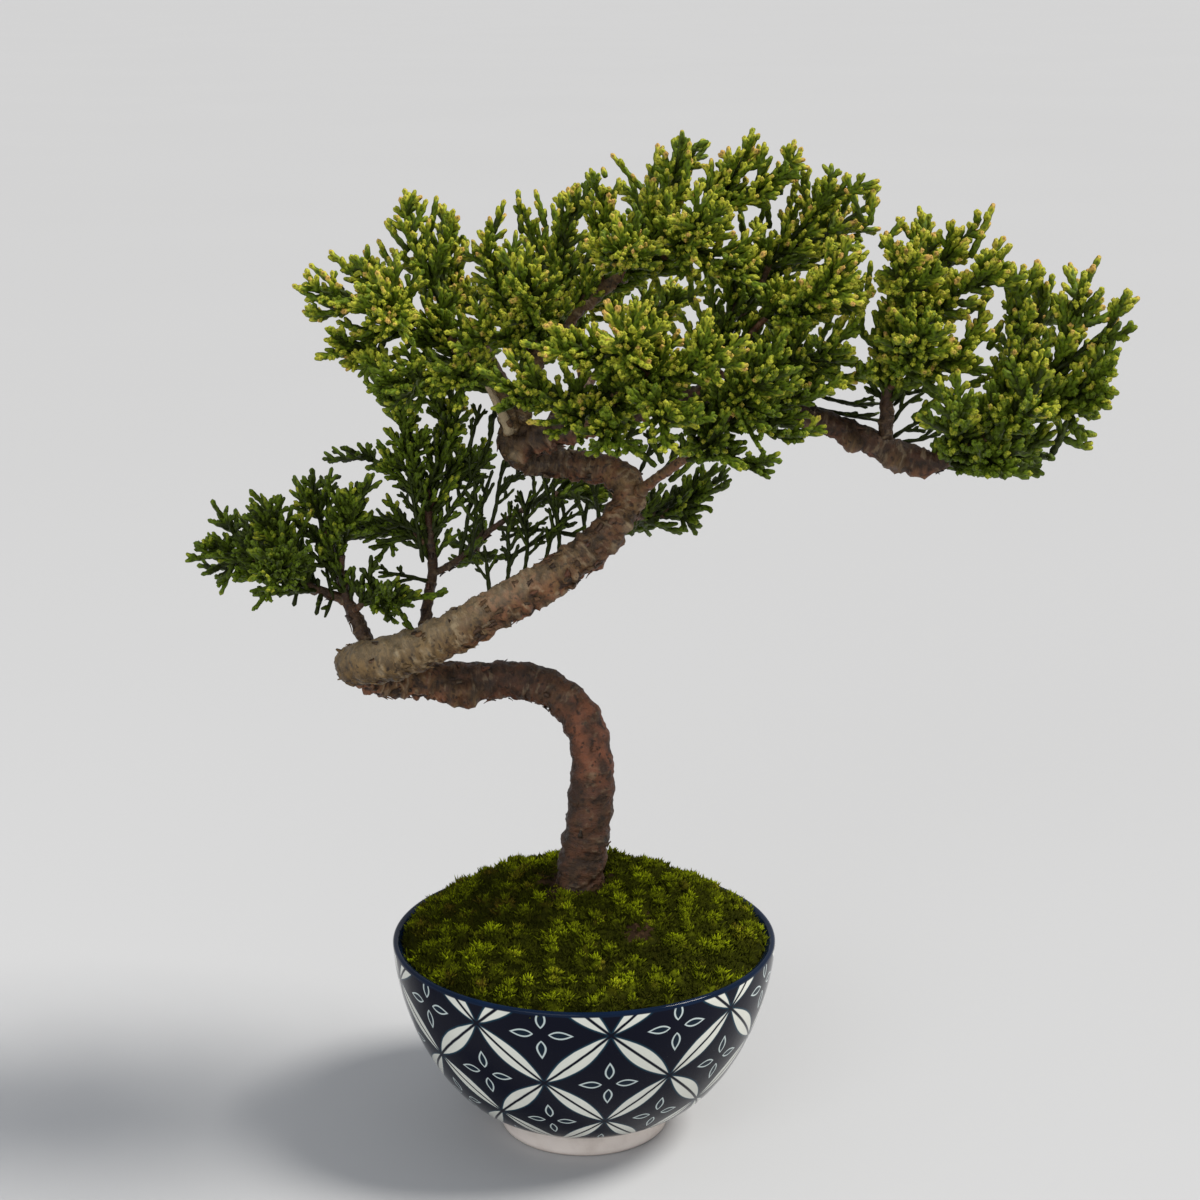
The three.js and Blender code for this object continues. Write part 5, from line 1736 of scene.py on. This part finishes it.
def make_stage(settings):
    scene = bpy.context.scene
    floor_surface = bpy.data.meshes.new("floor")
    edge = [(STAGE_RADIUS * math.cos(a), STAGE_RADIUS * math.sin(a), 0) for a in angles_round(96)]
    floor_surface.from_pydata(edge, [], [tuple(range(len(edge)))])
    floor_surface.materials.append(floor_material(settings))
    floor = bpy.data.objects.new("floor", floor_surface)
    scene.collection.objects.link(floor)
    world = bpy.data.worlds.new("room")
    world.use_nodes = True
    background = world.node_tree.nodes["Background"]
    background.inputs["Color"].default_value = (*settings.room, 1)
    background.inputs["Strength"].default_value = settings.room_strength
    scene.world = world
    sun = add_light("key_light", "SUN", SUN_STRENGTH, (1, 0.965, 0.91), angle=math.radians(SUN_WIDTH))
    sun.rotation_euler = Vector(SUN_FROM).to_track_quat("Z", "Y").to_euler()
    fill = add_light("front_fill", "AREA", FILL_STRENGTH, (0.96, 0.98, 1), shape="DISK", size=FILL_SIZE)
    fill.location = FILL_FROM
    fill.rotation_euler = (Vector(FILL_AIM) - Vector(FILL_FROM)).to_track_quat("-Z", "Y").to_euler()
    camera = bpy.data.cameras.new("camera")
    camera.sensor_width, camera.lens = FILM_WIDTH, LENS
    camera.clip_start, camera.clip_end = 0.01, 100
    seat = bpy.data.objects.new("camera", camera)
    seat.location = CAMERA_PLACE
    seat.rotation_euler = (math.radians(CAMERA_TILT), 0, 0)
    scene.collection.objects.link(seat)
    scene.camera = seat
    scene.view_settings.view_transform = "Standard"
    scene.view_settings.look = "None"


# The add-on


class BONSAI_OT_stage(bpy.types.Operator):
    """Make the pale floor, the soft lights and the camera"""

    bl_idname = "bonsai.stage"
    bl_label = "Stage"

    def execute(self, context):
        make_stage(context.scene.bonsai_stage)
        return {"FINISHED"}


class BONSAI_OT_bowl(bpy.types.Operator):
    """Make the glazed bowl with its drawn lattice"""

    bl_idname = "bonsai.bowl"
    bl_label = "Bowl"

    def execute(self, context):
        make_bowl(context.scene.bonsai_bowl)
        return {"FINISHED"}


class BONSAI_OT_soil(bpy.types.Operator):
    """Finish the soil and the net over the drain hole"""

    bl_idname = "bonsai.soil"
    bl_label = "Soil and net"

    def execute(self, context):
        for title, material in (
            ("soil", soil_grains(context.scene.bonsai_moss)),
            ("drain_net", net_plastic(context.scene.bonsai_moss)),
        ):
            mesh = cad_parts[title].data
            mesh.materials.clear()
            mesh.materials.append(material)
        return {"FINISHED"}


class BONSAI_OT_moss(bpy.types.Operator):
    """Make the moss and its shoots"""

    bl_idname = "bonsai.moss"
    bl_label = "Moss"

    def execute(self, context):
        make_moss(context.scene.bonsai_moss)
        return {"FINISHED"}


class BONSAI_OT_wood(bpy.types.Operator):
    """Make the trunk, the limbs and their bark"""

    bl_idname = "bonsai.wood"
    bl_label = "Trunk and limbs"

    def execute(self, context):
        make_wood(context.scene.bonsai_wood)
        return {"FINISHED"}


class BONSAI_OT_foliage(bpy.types.Operator):
    """Make the shoots of all sprays"""

    bl_idname = "bonsai.foliage"
    bl_label = "Foliage"

    def execute(self, context):
        make_foliage(context.scene.bonsai_foliage)
        return {"FINISHED"}


class BONSAI_PT_build(bpy.types.Panel):
    """Lists the bonsai's pieces in the order in which they are made"""

    bl_idname = "BONSAI_PT_build"
    bl_label = "Bonsai"
    bl_space_type = "VIEW_3D"
    bl_region_type = "UI"
    bl_category = "Bonsai"

    def draw(self, context):
        for operator, settings in STEPS:
            box = self.layout.box()
            box.operator(operator.bl_idname)
            if settings:
                group = getattr(context.scene, settings)
                for name in group.bl_rna.properties.keys():
                    if name not in ("name", "rna_type"):
                        box.prop(group, name)


STEPS = [
    (BONSAI_OT_stage, "bonsai_stage"),
    (BONSAI_OT_bowl, "bonsai_bowl"),
    (BONSAI_OT_soil, None),
    (BONSAI_OT_moss, "bonsai_moss"),
    (BONSAI_OT_wood, "bonsai_wood"),
    (BONSAI_OT_foliage, "bonsai_foliage"),
]
SETTINGS = {
    "bonsai_stage": StageSettings,
    "bonsai_bowl": BowlSettings,
    "bonsai_moss": MossSettings,
    "bonsai_wood": WoodSettings,
    "bonsai_foliage": FoliageSettings,
}


def register():
    for name, settings in SETTINGS.items():
        bpy.utils.register_class(settings)
        setattr(bpy.types.Scene, name, bpy.props.PointerProperty(type=settings))
    for operator, _ in STEPS:
        bpy.utils.register_class(operator)
    bpy.utils.register_class(BONSAI_PT_build)


def unregister():
    bpy.utils.unregister_class(BONSAI_PT_build)
    for operator, _ in reversed(STEPS):
        bpy.utils.unregister_class(operator)
    for name, settings in SETTINGS.items():
        delattr(bpy.types.Scene, name)
        bpy.utils.unregister_class(settings)


def main():
    register()
    bpy.ops.bonsai.stage()
    bpy.ops.bonsai.bowl()
    bpy.ops.bonsai.soil()
    bpy.ops.bonsai.moss()
    bpy.ops.bonsai.wood()
    bpy.ops.bonsai.foliage()


if __name__ == "__main__":
    main()
